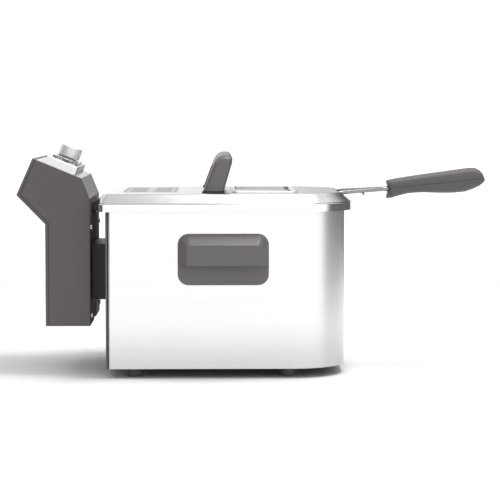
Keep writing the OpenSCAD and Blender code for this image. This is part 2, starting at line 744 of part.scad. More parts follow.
module grip_upper() {
    color(dark) difference() {
        intersection() { grip_form(); grip_split(1); }
        grip_bores(rod_d / 2 + 0.05);
        for (i = [0, 1]) translate([grip_screw_x[i], 0, grip_screw_z[i]]) cylinder(r = screw_r, h = 15);
    }
}

module grip_lower() {
    color(dark) difference() {
        intersection() { grip_form(); grip_split(-1); }
        grip_bores(rod_d / 2 + 0.05);
        for (i = [0, 1]) translate([grip_screw_x[i], 0, grip_screw_z[i] - 20]) {
            cylinder(r = screw_r, h = 30);
            cylinder(r = screw_head_r + 0.2, h = 20);
        }
    }
}

module grip_screws() {
    color(steel) for (i = [0, 1]) translate([grip_screw_x[i], 0, grip_screw_z[i]]) screw(14.8);
}

// ---------- control head ----------

function head_outline() = [
    [head_x0, head_low], [head_x1, head_low], [head_x1, brow_z[0]], [head_x1 - brow_in, brow_z[1]],
    [head_x0 - hood_in, hood_z[2]], [head_x0 - hood_back, hood_z[1]], [head_x0, hood_z[0]]];

module head_profile(in) {
    offset(r = in > 0 ? 0.8 : head_r / 2, $fn = 24) offset(delta = -in - (in > 0 ? 0.8 : head_r / 2))
        polygon(head_outline());
}

module head_block(in) {
    rotate([90, 0, 0]) translate([0, 0, -head_wid / 2 + in]) linear_extrude(head_wid - 2 * in)
        head_profile(in);
}

module guide_slot() {
    translate([head_x1 - 20, -rail_stem / 2 - slide_fit, head_low - 5])
        cube([30, rail_stem + 2 * slide_fit, rail_z[1] + 1 - head_low + 5]);
    translate([tee_x0 - 2 * slide_fit, -rail_tee / 2 - slide_fit, head_low - 5])
        cube([rail_lip + 3 * slide_fit, rail_tee + 2 * slide_fit, rail_z[1] + 1 - head_low + 5]);
}

// The big shell: sides, hood and back, open towards the housing.
module head_cover() {
    color(dark) difference() {
        head_block(0);
        head_block(shell_wall);
        translate([head_x1 - shell_wall, -head_wid / 2 + shell_wall, head_low + shell_wall])
            cube([10, head_wid - 2 * shell_wall, brow_z[0] - head_low - shell_wall - 4]);
        translate([head_x1 - 17, -rail_tee / 2 - 4, head_low - 1]) cube([20, rail_tee + 8, 10]);
        on_panel() translate([-panel_len / 2 + panel_edge, -head_wid / 2 + panel_edge, -panel_t])
            cube([panel_len + 20, head_wid - 2 * panel_edge, 10]);
        on_panel(0, 0, -12) linear_extrude(12) pad(panel_len - 24, block_wid - 12, 4);
        translate([panel_x, 0, 0]) brow_recess();
        inlet_place() translate([0, 0, -1]) linear_extrude(12) pad(28, 21, 3);
        reset_place() translate([0, 0, -8]) cylinder(d = button_d + 0.6, h = 12);
    }
}

module brow_recess() {
    deg = atan2(brow_z[1] - brow_z[0], brow_in);
    translate([head_x1 - brow_in - panel_x, 0, brow_z[1]]) rotate([0, deg, 0])
        translate([-3, -head_wid / 2 + panel_edge, -panel_t])
            cube([norm([brow_in, brow_z[1] - brow_z[0]]) + 3, head_wid - 2 * panel_edge, 10]);
}

module head_front() {
    color(dark) difference() {
        translate([head_x1 - shell_wall, -head_wid / 2 + shell_wall + 0.2, head_low + shell_wall + 0.2])
            cube([shell_wall, head_wid - 2 * shell_wall - 0.4, brow_z[0] - head_low - shell_wall - 4.4]);
        guide_slot();
        for (p = head_screw_places) translate([head_x1 - 4, p[0], p[1]]) rotate([0, 90, 0])
            cylinder(r = screw_r + 0.1, h = 6);
        translate([head_x1 - 4, -neck_wid / 2 + 10, neck_z - 18]) cube([6, neck_wid - 20, 12]);
    }
}

head_screw_places = [for (y = [-1, 1], z = [head_low + 12, head_low + 118]) [y * (head_wid / 2 - 12), z]];

module head_screws() {
    color(steel) for (p = head_screw_places)
        translate([head_x1, p[0], p[1]]) rotate([0, -90, 0]) screw(12);
}

// The channel that runs down over the rail bracket's tee.
module guide_channel() {
    low = head_low + shell_wall + 0.3;
    color(black) difference() {
        translate([head_x1 - 15, -rail_tee / 2 - 3.5, low])
            cube([15 - shell_wall - 0.1, rail_tee + 7, rail_z[1] - low + 6]);
        guide_slot();
        translate([tee_x, 0, low]) cylinder(r = plunger_r + run_fit, h = 150);
    }
}

// Brushed plate over the sloped top, folded down over the brow.
module panel_plate() {
    wid = head_wid - 2 * panel_edge - 0.4;
    fold = [head_x1 - brow_in, brow_z[1]];
    up = [-cos(panel_deg), sin(panel_deg)];
    down = unit([brow_in, brow_z[0] - brow_z[1]]);
    n_top = [sin(panel_deg), cos(panel_deg)];
    n_brow = [-down[1], down[0]];
    rear = fold + (panel_len - panel_edge - 0.2) * up;
    foot = fold + (norm([brow_in, brow_z[1] - brow_z[0]]) - 0.5) * down;
    inner_fold = fold - panel_t / (1 + n_top * n_brow) * (n_top + n_brow);
    color(steel) difference() {
        rotate([90, 0, 0]) translate([0, 0, -wid / 2]) linear_extrude(wid)
            polygon([rear, fold, foot, foot - panel_t * n_brow, inner_fold, rear - panel_t * n_top]);
        on_panel(0, 0, -12) linear_extrude(24) pad(panel_len - 26, block_wid - 14, 4);
    }
}

// Raised control block with a bevelled rear end.
module control_block() {
    mid = (block_x0 + block_x1) / 2;
    len = block_x1 - block_x0;
    top_wall = 3;
    color(steel) on_panel(mid) difference() {
        hull() {
            linear_extrude(0.5) pad(len, block_wid, 2.5, $fn = HULL_FN);
            translate([2.5, 0, block_h - 1]) linear_extrude(1) pad(len - 6, block_wid - 6, 2, $fn = HULL_FN);
        }
        translate([0, 0, -1]) linear_extrude(block_h - top_wall + 1) pad(len - 12, block_wid - 12, 2);
        translate([lens_x - mid, lens_y, block_h - top_wall - 1]) linear_extrude(8)
            pad(lens_len, lens_wid, 2);
    }
}

// The clear plate covers the screen and reaches under the dial.
module display_lens() {
    color([0.75, 0.85, 0.82, 0.6]) on_panel(lens_x, lens_y, block_h - 3) difference() {
        linear_extrude(3 + lens_h) pad(lens_len - 0.2, lens_wid - 0.2, 2);
        translate([dial_x - lens_x, dial_y - lens_y, -1]) cylinder(r = shaft_r + 1, h = 12);
    }
}

module display_board() {
    color("darkgreen") on_panel(0, 0, -7) linear_extrude(1.6) pad(panel_len - 28, block_wid - 16, 2);
    color("darkgray") on_panel(lens_x, screen_y, -5.4) linear_extrude(5.4 + block_h - 3.2)
        pad(lens_len - 8, screen_wid, 1);
}

module encoder() {
    color("gray") on_panel(dial_x, dial_y, -5.4) difference() {
        union() {
            linear_extrude(5.5) pad(13, 13, 1);
            translate([0, 0, 5.5]) cylinder(r = 4.5, h = 5.5);
        }
        translate([0, 0, 1.5]) cylinder(r = shaft_r + run_fit, h = 14);
    }
}

module dial_shaft() {
    low = -3.8;
    color("silver") on_panel(dial_x, dial_y, low) cylinder(r = shaft_r, h = dial_z + dial_h - 4 - low);
}

// The dial is a cup with an inner sleeve on the shaft.
module dial() {
    wall = 2;
    edge = 1.5;
    color(steel) on_panel(dial_x, dial_y, dial_z) difference() {
        union() {
            cylinder(d = dial_d, h = dial_h - edge);
            translate([0, 0, dial_h - edge]) cylinder(d1 = dial_d, d2 = dial_d - 2.5, h = edge);
        }
        difference() {
            translate([0, 0, -1]) cylinder(d = dial_d - 2 * wall, h = dial_h - 1.5);
            translate([0, 0, -2]) cylinder(r = shaft_r + 2.5, h = dial_h);
        }
        translate([0, 0, -1]) cylinder(r = shaft_r, h = dial_h - 3);
    }
}

// The reset button stands in the back of the head, low down.
module reset_place() {
    translate([head_x0, head_wid / 4, head_low + 40]) rotate([0, -90, 0]) children();
}

module reset_button() {
    color("firebrick") reset_place() {
        translate([0, 0, -4.6]) cylinder(d = button_d, h = 5.6);
        translate([0, 0, -4.6]) cylinder(d = button_d + 3, h = 1.2);
    }
}

module thermal_cutout() {
    color("tan") reset_place() translate([0, 0, -21]) {
        difference() {
            cylinder(d = 24, h = 12);
            translate([0, 0, 8]) cylinder(d = 8, h = 5);
        }
        difference() {
            translate([0, 0, 12]) cylinder(d = 24, h = 6.4);
            translate([0, 0, 11.9]) cylinder(d = button_d + 4, h = 7);
        }
    }
}

module power_board() {
    z = head_low + inlet_h + 2;
    y = -head_wid / 2 + 12;
    color("darkgreen") translate([head_x0 + 8, y, z]) cube([1.6, 60, 90]);
    color("black") {
        translate([head_x0 + 9.6, y + 5, z + 6]) cube([16, 22, 28]);
        translate([head_x0 + 9.6, y + 32, z + 6]) cube([16, 22, 28]);
        translate([head_x0 + 9.6, y + 6, z + 60]) cube([10, 40, 14]);
    }
}

// A switch that the plunger works once the head sits on its rail.
module seat_switch() {
    z0 = rail_z[1] + 6.2;
    color("black") difference() {
        translate([tee_x - 4.5, -10, z0]) cube([9, 20, 16]);
        translate([tee_x, 0, z0 - 1]) cylinder(r = plunger_r + run_fit, h = 14);
    }
}

module seat_plunger() {
    color("white") translate([tee_x, 0, plunger_z]) cylinder(r = plunger_r, h = 16);
}

module inlet_place() {
    translate([(head_x0 + head_x1) / 2 - 4, -head_wid / 4, head_low]) children();
}

module power_inlet() {
    color(black) inlet_place() difference() {
        union() {
            linear_extrude(inlet_h) pad(27.6, 20.6, 2.8);
            translate([0, 0, shell_wall + 0.1]) linear_extrude(2) pad(34, 27, 3);
        }
        translate([0, 0, -1]) linear_extrude(inlet_h - 5) pad(24, 17, 2);
        for (i = [-1, 0, 1]) translate([i * 7, abs(i) * 4 - 2, 10]) cube([2.2, 4.2, 30], center = true);
    }
}

module inlet_pins() {
    color("gold") inlet_place() for (i = [-1, 0, 1])
        translate([i * 7, abs(i) * 4 - 2, 14.5]) cube([2, 4, 22], center = true);
}

// ---------- heating element ----------

// The neck hooks over the rim and carries the element and probe down into the pot.
module element_neck() {
    inner = pot_x0 + sheet + slide_fit;
    color(black) difference() {
        rotate([90, 0, 0]) translate([0, 0, -neck_wid / 2]) linear_extrude(neck_wid)
            polygon([[head_x1 - 14, neck_z - 16], [head_x1 - 14, neck_z - 8],
                     [head_x1 + 1, neck_z - 6], [rim_x0 - 1.5, neck_z],
                     [neck_x - 1.5, neck_z], [neck_x, neck_z - 1.5], [neck_x, rim_z - 6],
                     [inner + 12, rim_z - 6], [inner + 12, rim_z - 24],
                     [inner, rim_z - 24], [inner, rim_z + fit], [rim_x0 - 1, rim_z + fit],
                     [rim_x0 - 1, neck_z - 16]]);
        for (s = [-1, 1]) {
            translate([head_x1 - 18, s > 0 ? neck_wid / 2 - 10.3 : -neck_wid / 2 - 1, neck_z - 30])
                cube([18 + 0.5, 11.3, 40]);
            translate([element_x, s * element_pitch / 2, rim_z - 30])
                cylinder(d = element_d + 0.1, h = 12.05);
        }
        translate([element_x, 0, rim_z - 30]) cylinder(d = probe_d + 0.1, h = 12.05);
        for (s = [-1, 1]) translate([head_x1 + 4, s * 30, neck_z - 30]) cylinder(r = screw_r, h = 22);
    }
}

module neck_screws() {
    color(steel) for (s = [-1, 1]) translate([head_x1 + 4, s * 30, neck_z - 16]) screw(8);
}

// A bend of the element: part of a ring of the given radius, turned into place.
module element_arc(at, radius, from, sweep) {
    translate(at) rotate([0, 0, from]) rotate_extrude(angle = sweep)
        translate([radius, 0]) circle(d = element_d);
}

module element_run(x0, x1, y) {
    translate([x0, y, element_z]) rotate([0, 90, 0]) cylinder(d = element_d, h = x1 - x0);
}

// Each half drops from the neck and winds out in three runs; a front link joins the halves.
module heating_element() {
    p = element_pitch;
    b = element_bend;
    front = element_x1 - 30;
    rear = element_x + b;
    color("dimgray") {
        for (s = [-1, 1]) {
            translate([element_x, s * p / 2, element_z + b])
                cylinder(d = element_d, h = rim_z - 18 - element_z - b);
            translate([element_x + b, s * p / 2, element_z + b]) rotate([-90, 0, 180])
                rotate_extrude(angle = 90) translate([b, 0]) circle(d = element_d);
            element_run(rear, front, s * p / 2);
            element_arc([front, s * p, element_z], p / 2, -90, 180);
            element_run(rear + 6, front, s * 1.5 * p);
            element_arc([rear + 6, s * 2 * p, element_z], p / 2, 90, 180);
            element_run(rear + 6, element_x1 - b, s * 2.5 * p);
            element_arc([element_x1 - b, s * (2.5 * p - b), element_z], b, s > 0 ? 0 : -90, 90);
        }
        translate([element_x1, -2.5 * p + b, element_z]) rotate([-90, 0, 0])
            cylinder(d = element_d, h = 5 * p - 2 * b);
    }
}

// Two strips that hold the element's runs level.
module element_tray() {
    half = 2.5 * element_pitch + 8;
    color("silver") for (x = [element_x + 50, element_x1 - 60])
        translate([x, -half, element_z - element_d / 2 - 1.1]) cube([14, 2 * half, 1]);
}

module temperature_probe() {
    color("silver") wire_path([[element_x, 0, rim_z - 18], [element_x, 0, probe_z],
                               [element_x + 40, 0, probe_z]], probe_d);
}

// ---------- the drawn pieces ----------

module placed() { translate([at_origin, 0, 0]) children(); }

placed() outer_housing();
placed() rear_panel();
placed() base_plate();
placed() feet();
placed() base_screws();
placed() side_handle_left();
placed() side_handle_right();
placed() handle_bracket_left();
placed() handle_bracket_right();
placed() side_handle_screws();
placed() rail_bracket();
placed() rail_screws();
placed() oil_pot();
placed() pot_rim();
placed() handle_rest();
placed() lid_shell();
placed() lid_liner();
placed() lid_seal();
placed() window_frame();
placed() window_glass();
placed() vent_frame();
placed() vent_cover();
placed() filter_pad();
placed() lid_handle();
placed() lid_handle_base();
placed() lid_handle_screws();
placed() basket_mesh();
placed() basket_rim();
placed() basket_hook();
placed() basket_hoops();
placed() handle_rods();
placed() rod_brace();
placed() grip_upper();
placed() grip_lower();
placed() grip_screws();
placed() head_cover();
placed() head_front();
placed() head_screws();
placed() guide_channel();
placed() panel_plate();
placed() control_block();
placed() display_lens();
placed() display_board();
placed() encoder();
placed() dial_shaft();
placed() dial();
placed() reset_button();
placed() thermal_cutout();
placed() power_board();
placed() seat_switch();
placed() seat_plunger();
placed() power_inlet();
placed() inlet_pins();
placed() element_neck();
placed() neck_screws();
placed() heating_element();
placed() element_tray();
placed() temperature_probe();
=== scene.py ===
# %% [markdown]
# A deep fryer, dressed piece by piece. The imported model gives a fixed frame: where every
# piece is, and which body it moves with. Here the visible pieces are modelled again with
# rounded edges, real wire mesh and working finishes, and hung on those bodies.

# %% Load the frame
import math

import bmesh
import bpy
from mathutils import Matrix, Vector


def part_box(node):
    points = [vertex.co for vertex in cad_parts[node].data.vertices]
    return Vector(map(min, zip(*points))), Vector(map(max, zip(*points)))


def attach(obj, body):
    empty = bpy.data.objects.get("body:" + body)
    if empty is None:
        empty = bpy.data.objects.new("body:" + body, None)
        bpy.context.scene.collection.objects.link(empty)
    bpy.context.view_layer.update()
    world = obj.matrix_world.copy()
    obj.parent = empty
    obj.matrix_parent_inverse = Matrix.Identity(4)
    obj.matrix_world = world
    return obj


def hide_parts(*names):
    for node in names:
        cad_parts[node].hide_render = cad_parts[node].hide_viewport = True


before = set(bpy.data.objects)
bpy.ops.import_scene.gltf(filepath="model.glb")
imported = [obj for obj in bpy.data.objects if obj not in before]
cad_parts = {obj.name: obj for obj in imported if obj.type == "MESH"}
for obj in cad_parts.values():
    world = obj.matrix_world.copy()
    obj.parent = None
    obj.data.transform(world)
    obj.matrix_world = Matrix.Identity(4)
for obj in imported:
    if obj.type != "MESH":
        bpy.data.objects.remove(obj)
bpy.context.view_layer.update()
MM = 0.001
TINY = 1e-5  # nearer than this, two places are the same
PAST = 0.01  # how far a cutting tool reaches past what it cuts

# %% [markdown]
# Modelling by hand starts from a primitive and works in edit mode. These small helpers do
# what a modeller does all day: clear the selection, enter edit mode with some edges or
# faces picked by their place, and apply a modifier.

# %% Selection helpers


def deselect():
    """Leaves edit mode with nothing selected."""
    active = bpy.context.view_layer.objects.active
    if active and active.mode != "OBJECT":
        bpy.ops.object.mode_set(mode="OBJECT")
    bpy.ops.object.select_all(action="DESELECT")


def activate(piece):
    """Makes one piece the only one selected."""
    deselect()
    piece.select_set(True)
    bpy.context.view_layer.objects.active = piece


def pick(piece, kind, test):
    """Enters edit mode with the verts, edges or faces that pass the test selected."""
    activate(piece)
    bpy.ops.object.mode_set(mode="EDIT")
    bpy.ops.mesh.select_mode(type=kind)
    bpy.ops.mesh.select_all(action="DESELECT")
    mesh = bmesh.from_edit_mesh(piece.data)
    parts = {"VERT": mesh.verts, "EDGE": mesh.edges, "FACE": mesh.faces}[kind]
    chosen = [part for part in parts if test(part)]
    for part in chosen:
        part.select_set(True)
    mesh.select_flush_mode()
    bmesh.update_edit_mesh(piece.data)
    return len(chosen)


def done():
    bpy.ops.object.mode_set(mode="OBJECT")


def modify(piece, kind, **settings):
    """Adds a modifier, sets it and applies it."""
    activate(piece)
    modifier = piece.modifiers.new(kind.title(), kind)
    for name, value in settings.items():
        setattr(modifier, name, value)
    bpy.ops.object.modifier_apply(modifier=modifier.name)


def middle(part):
    """The middle of an edge."""
    return (part.verts[0].co + part.verts[1].co) / 2


def highest(top):
    """Picks edges that lie at the top of a piece."""
    return lambda edge: all(v.co.z > top - TINY for v in edge.verts)


def lowest(foot):
    """Picks edges that lie at the foot of a piece."""
    return lambda edge: all(v.co.z < foot + TINY for v in edge.verts)


def upright(edge):
    """True for an edge that runs along Z."""
    along = edge.verts[1].co - edge.verts[0].co
    return abs(along.z) > 0.99 * along.length


# %% [markdown]
# Most covers begin as a block at its final size. Bevelling the picked edges with many
# segments gives true quarter rounds, and a last fine bevel catches the light on every
# edge that is left sharp, as a moulded or folded edge does.

# %% Block helpers


def block(name, low, high):
    """A cube primitive between two corners."""
    deselect()
    low, high = Vector(low), Vector(high)
    bpy.ops.mesh.primitive_cube_add(size=1, location=(low + high) / 2)
    piece = bpy.context.object
    piece.name = name
    piece.scale = high - low
    bpy.ops.object.transform_apply(location=True, rotation=True, scale=True)
    return piece


def round_edges(piece, test, radius, segments):
    """Rounds the picked edges."""
    pick(piece, "EDGE", test)
    bpy.ops.mesh.bevel(offset=radius, segments=segments, affect="EDGES")
    done()


def soften(piece, width, segments=2, angle=35, smooth=40):
    """A fine bevel on every sharp edge, then smooth shading between flat faces."""
    if width:
        modify(piece, "BEVEL", width=width, segments=segments, limit_method="ANGLE",
               angle_limit=math.radians(angle), harden_normals=False)
    activate(piece)
    bpy.ops.object.shade_smooth_by_angle(angle=math.radians(smooth))
    modify(piece, "WEIGHTED_NORMAL", keep_sharp=True, weight=80)


def cut(piece, tool):
    """Takes the tool's shape out of the piece and throws the tool away."""
    modify(piece, "BOOLEAN", operation="DIFFERENCE", object=tool, solver="EXACT")
    bpy.data.objects.remove(tool)


def join(name, pieces):
    """Makes several pieces one object."""
    deselect()
    for piece in pieces:
        piece.select_set(True)
    bpy.context.view_layer.objects.active = pieces[0]
    bpy.ops.object.join()
    pieces[0].name = name
    return pieces[0]


def outward(piece):
    """Merges doubles and turns every face outwards."""
    pick(piece, "VERT", lambda v: True)
    bpy.ops.mesh.remove_doubles(threshold=1e-6)
    bpy.ops.mesh.normals_make_consistent(inside=False)
    done()


def move(piece, matrix):
    """Moves the mesh itself, so that the object stays at the origin."""
    piece.data.transform(matrix)
    piece.data.update()
    return piece


def d_block(name, low, high, front, rear, front_steps=24, rear_steps=5):
    """A block with large upright rounds at the front (+X) and small ones at the rear."""
    piece = block(name, low, high)
    half = (low[0] + high[0]) / 2
    round_edges(piece, lambda e: upright(e) and middle(e).x > half, front, front_steps)
    round_edges(piece, lambda e: upright(e) and middle(e).x < half
                and abs(middle(e).x - low[0]) < TINY, rear, rear_steps)
    return piece


def pad_block(name, low, high, radius, steps=6):
    """A block with four equal upright rounds."""
    piece = block(name, low, high)
    round_edges(piece, upright, radius, steps)
    return piece


# %% [markdown]
# Turned pieces come from half an outline, drawn as a chain of vertices and spun round its
# axis, like clay on a wheel. Wires are curves with a round bevel, made a mesh at once.

# %% Lathe and wire helpers


def turned(name, outline, steps=48):
    """Spins an outline of (radius, height) points round Z."""
    deselect()
    bpy.ops.mesh.primitive_plane_add(size=1)
    piece = bpy.context.object
    piece.name = name
    pick(piece, "VERT", lambda v: v.index > 0)
    bpy.ops.mesh.delete(type="VERT")
    bpy.ops.mesh.select_all(action="SELECT")
    mesh = bmesh.from_edit_mesh(piece.data)
    mesh.verts.ensure_lookup_table()
    mesh.verts[0].co = (outline[0][0], 0, outline[0][1])
    bmesh.update_edit_mesh(piece.data)
    for before, after in zip(outline, outline[1:]):
        step = (after[0] - before[0], 0, after[1] - before[1])
        bpy.ops.mesh.extrude_region_move(TRANSFORM_OT_translate={"value": step})
    bpy.ops.mesh.select_all(action="SELECT")
    bpy.ops.mesh.spin(steps=steps, angle=2 * math.pi, center=(0, 0, 0), axis=(0, 0, 1))
    done()
    outward(piece)
    return piece


def wires(name, paths, radius, roundness=2, closed=False):
    """Tubes along lists of points."""
    curve = bpy.data.curves.new(name, "CURVE")
    curve.dimensions = "3D"
    curve.bevel_depth = radius
    curve.bevel_resolution = roundness
    curve.use_fill_caps = not closed
    for path in paths:
        spline = curve.splines.new("POLY")
        spline.points.add(len(path) - 1)
        for point, place in zip(spline.points, path):
            point.co = (*place, 1)
        spline.use_cyclic_u = closed
    piece = bpy.data.objects.new(name, curve)
    bpy.context.scene.collection.objects.link(piece)
    activate(piece)
    bpy.ops.object.convert(target="MESH")
    piece = bpy.context.object
    bpy.ops.object.shade_smooth_by_angle(angle=math.radians(50))
    return piece


def rounded_path(corners, radius, steps=6):
    """Points along straight runs whose corners are turned with arcs."""
    points = [Vector(corners[0])]
    for before, at, after in zip(corners, corners[1:], corners[2:]):
        before, at, after = Vector(before), Vector(at), Vector(after)
        back, on = (before - at).normalized(), (after - at).normalized()
        reach = min(radius, (before - at).length / 2, (after - at).length / 2)
        for step in range(steps + 1):
            t = step / steps
            points.append(at + back * reach * (1 - t) ** 2 + on * reach * t ** 2)
    points.append(Vector(corners[-1]))
    return points


def plan_outline(x0, x1, wide, front, rear, z, steps=12):
    """The fryer's plan as a loop of points: large rounds in front, small ones behind."""
    half = wide / 2
    corners = [(x1 - front, half - front, front, 0), (x0 + rear, half - rear, rear, 90),
               (x0 + rear, -half + rear, rear, 180), (x1 - front, -half + front, front, 270)]
    loop = []
    for x, y, radius, start in corners:
        for step in range(steps + 1):
            turn = math.radians(start + 90 * step / steps)
            loop.append(Vector((x + radius * math.cos(turn), y + radius * math.sin(turn), z)))
    return loop


# %% [markdown]
# Every piece is handed over in the same way: it gets its finish, rides on its body, and
# takes the place of the plain node it stands for.

# %% Hand a piece over


def place(piece, finish, body, slot, *stands_for):
    piece.data.materials.clear()
    piece.data.materials.append(finish)
    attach(piece, body)
    if stands_for:
        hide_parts(*stands_for)
    print(piece.name, "faces", len(piece.data.polygons))
    return piece


# %% [markdown]
# Finishes are sums over the surface. Wrapping a socket in a small class lets a finish be
# written as plain arithmetic: each operator adds the Math node that does it.

# %% Shader arithmetic


class Value:
    """A number that varies over the surface."""

    def __init__(self, finish, socket):
        self.finish = finish
        self.socket = socket

    def math(self, operation, first, second):
        return self.finish.node("Math", {"operation": operation}, {0: first, 1: second})

    def __add__(self, other):
        return self.math("ADD", self, other)

    def __mul__(self, other):
        return self.math("MULTIPLY", self, other)

    def __sub__(self, other):
        return self.math("SUBTRACT", self, other)

    def above(self, level):
        return self.math("GREATER_THAN", self, level)

    __radd__ = __add__
    __rmul__ = __mul__


class Finish:
    """A material with one surface shader, built up node by node."""

    def __init__(self, name, **constants):
        self.material = bpy.data.materials.new(name)
        self.material.use_nodes = True
        self.tree = self.material.node_tree
        self.shader = self.tree.nodes["Principled BSDF"]
        for socket, value in constants.items():
            self.shader.inputs[socket.replace("_", " ")].default_value = value
        self.place = self.node("TexCoord", {}, {}, "Object")

    def node(self, kind, settings, sockets, output=0):
        """Adds one node: its settings first, then the values or links of its sockets."""
        node = self.tree.nodes.new("ShaderNode" + kind)
        for name, value in settings.items():
            if name == "stops":
                self.set_stops(node.color_ramp, value)
            else:
                setattr(node, name, value)
        for name, value in sockets.items():
            if isinstance(value, Value):
                self.tree.links.new(value.socket, node.inputs[name])
            else:
                node.inputs[name].default_value = value
        return Value(self, node.outputs[output])

    def set_stops(self, ramp, stops):
        while len(ramp.elements) < len(stops):
            ramp.elements.new(0.5)
        for element, (position, shade) in zip(ramp.elements, stops):
            element.position = position
            element.color = (*shade, 1)

    def drive(self, socket, value):
        """Feeds one of the surface shader's sockets."""
        self.tree.links.new(value.socket, self.shader.inputs[socket])

    def stretched(self, x, y, z):
        """The place on the piece, stretched so that a pattern gets a direction."""
        return self.node("VectorMath", {"operation": "MULTIPLY"}, {0: self.place, 1: (x, y, z)})

    def noise(self, scale, detail=2.0, rough=0.5, at=None):
        return self.node("TexNoise", {}, {"Vector": at or self.place, "Scale": scale,
                                          "Detail": detail, "Roughness": rough})

    def mix(self, factor, low, high):
        """A mix of two colours with alpha, or of two sockets."""
        return self.node("Mix", {"data_type": "RGBA"}, {0: factor, 6: low, 7: high}, 2)

    def tint(self, factor, low, high):
        """A colour between two, by a factor."""
        return self.mix(factor, (*low, 1), (*high, 1))

    def bump(self, height, strength, distance):
        normal = self.node("Bump", {}, {"Strength": strength, "Distance": distance,
                                        "Height": height})
        self.drive("Normal", normal)


print("shader helpers ready")

# %% [markdown]
# Brushed steel is drawn over an abrasive belt, so fine scratches run one way. Noise that is
# squeezed across the grain and pulled along it gives them. The same scratches lift the
# surface, vary its roughness and tint it a little; broad smudges break up the gloss. On the
# housing wall shade is painted in as well: the colour turns grey towards the table.

# %% Steel finishes


# The grey that the painted shade mixes into the wall near the table.
PAINTED_SHADE_GREY = (0.3, 0.3, 0.3)
SEAL_BLACK = (0.012, 0.012, 0.012)


def brushed(name, grain, light, dark, rough, depth=0.35, painted_fade=None):
    """Brushed steel; grain holds how tight the pattern is along X, Y and Z. An optional band of heights
    paints shade in: the colour turns grey towards the bottom.
    """
    finish = Finish(name, Metallic=1.0)
    at = finish.stretched(*grain)
    fine = finish.noise(1.0, 3.0, 0.65, at)
    broad = finish.noise(0.16, 2.0, 0.5, at)
    smudge = finish.noise(14.0, 2.0)
    shade = fine * 0.55 + broad * 0.45
    colour = finish.tint(shade, dark, light)
    # Painted shade: below a height the colour is mixed towards grey, standing in for the darker table
    # that the lower wall reflects.
    if painted_fade:
        low, high, share = painted_fade
        height = finish.node("SeparateXYZ", {}, {0: finish.place}, "Z")
        painted_shade = finish.node("MapRange", {"interpolation_type": "SMOOTHSTEP"},
                                 {"Value": height, "From Min": high, "From Max": low,
                                  "To Max": share})
        colour = finish.mix(painted_shade, colour, (*PAINTED_SHADE_GREY, 1))
    finish.drive("Base Color", colour)
    finish.drive("Roughness", rough + 0.16 * fine + 0.08 * smudge - 0.1)
    finish.bump(fine, depth, 0.00006)
    return finish.material


def polished(name, colour, rough=0.12, spots=260.0):
    """Smooth steel with faint drawing marks and handling haze."""
    finish = Finish(name, Metallic=1.0)
    haze = finish.noise(22.0, 3.0)
    marks = finish.noise(spots, 2.0)
    darker = tuple(0.86 * c for c in colour)
    finish.drive("Base Color", finish.tint(haze * 0.6 + marks * 0.4, darker, colour))
    finish.drive("Roughness", rough + 0.12 * haze + 0.06 * marks - 0.06)
    finish.bump(marks, 0.12, 0.00005)
    return finish.material


WALL_GRAIN, TOP_GRAIN, POT_GRAIN, DIAL_GRAIN = (9, 9, 2300), (9, 2300, 9), (9, 9, 1500), (60, 60, 900)
# Painted shade on the housing wall: fully mixed below the first height, none above the second.
WALL_PAINTED_SHADE = (5 * MM, 75 * MM, 0.45)  # full below one height, gone above the other, and how strong
steel_wall = brushed("steel_wall", WALL_GRAIN, (0.90, 0.90, 0.895), (0.78, 0.78, 0.775), 0.29,
                     painted_fade=WALL_PAINTED_SHADE)
steel_lid = brushed("steel_lid", TOP_GRAIN, (0.58, 0.58, 0.575), (0.49, 0.49, 0.485), 0.2)
steel_panel = brushed("steel_panel", TOP_GRAIN, (0.76, 0.76, 0.75), (0.62, 0.62, 0.615), 0.28)
steel_block = brushed("steel_block", TOP_GRAIN, (0.84, 0.84, 0.84), (0.70, 0.70, 0.70), 0.26)
steel_rim = polished("steel_rim", (0.86, 0.86, 0.86), 0.10)
steel_wire = polished("steel_wire", (0.30, 0.30, 0.295), 0.16, 600.0)
steel_pot = brushed("steel_pot", POT_GRAIN, (0.72, 0.72, 0.71), (0.58, 0.58, 0.57), 0.3)
steel_screw = polished("steel_screw", (0.62, 0.62, 0.61), 0.22, 900.0)
dial_metal = brushed("dial_metal", DIAL_GRAIN, (0.96, 0.96, 0.96), (0.88, 0.88, 0.88), 0.5, 0.04)

# %% [markdown]
# Moulded plastic takes the fine spark-eroded texture of its tool: tiny soft pits. Handling
# polishes it in broad patches, so the roughness drifts while the colour hardly moves.

# %% Plastic, rubber and glass finishes


def moulded(name, colour, rough, pits=1500.0, depth=0.25, drift=0.1):
    finish = Finish(name)
    grit = finish.noise(pits, 3.0, 0.6)
    patch = finish.noise(18.0, 3.0)
    lighter = tuple(min(1.0, 1.22 * c) for c in colour)
    finish.drive("Base Color", finish.tint(grit * 0.5 + patch * 0.5, colour, lighter))
    finish.drive("Roughness", rough + drift * patch + 0.08 * grit - 0.5 * drift)
    finish.bump(grit, depth, 0.00008)
    return finish.material


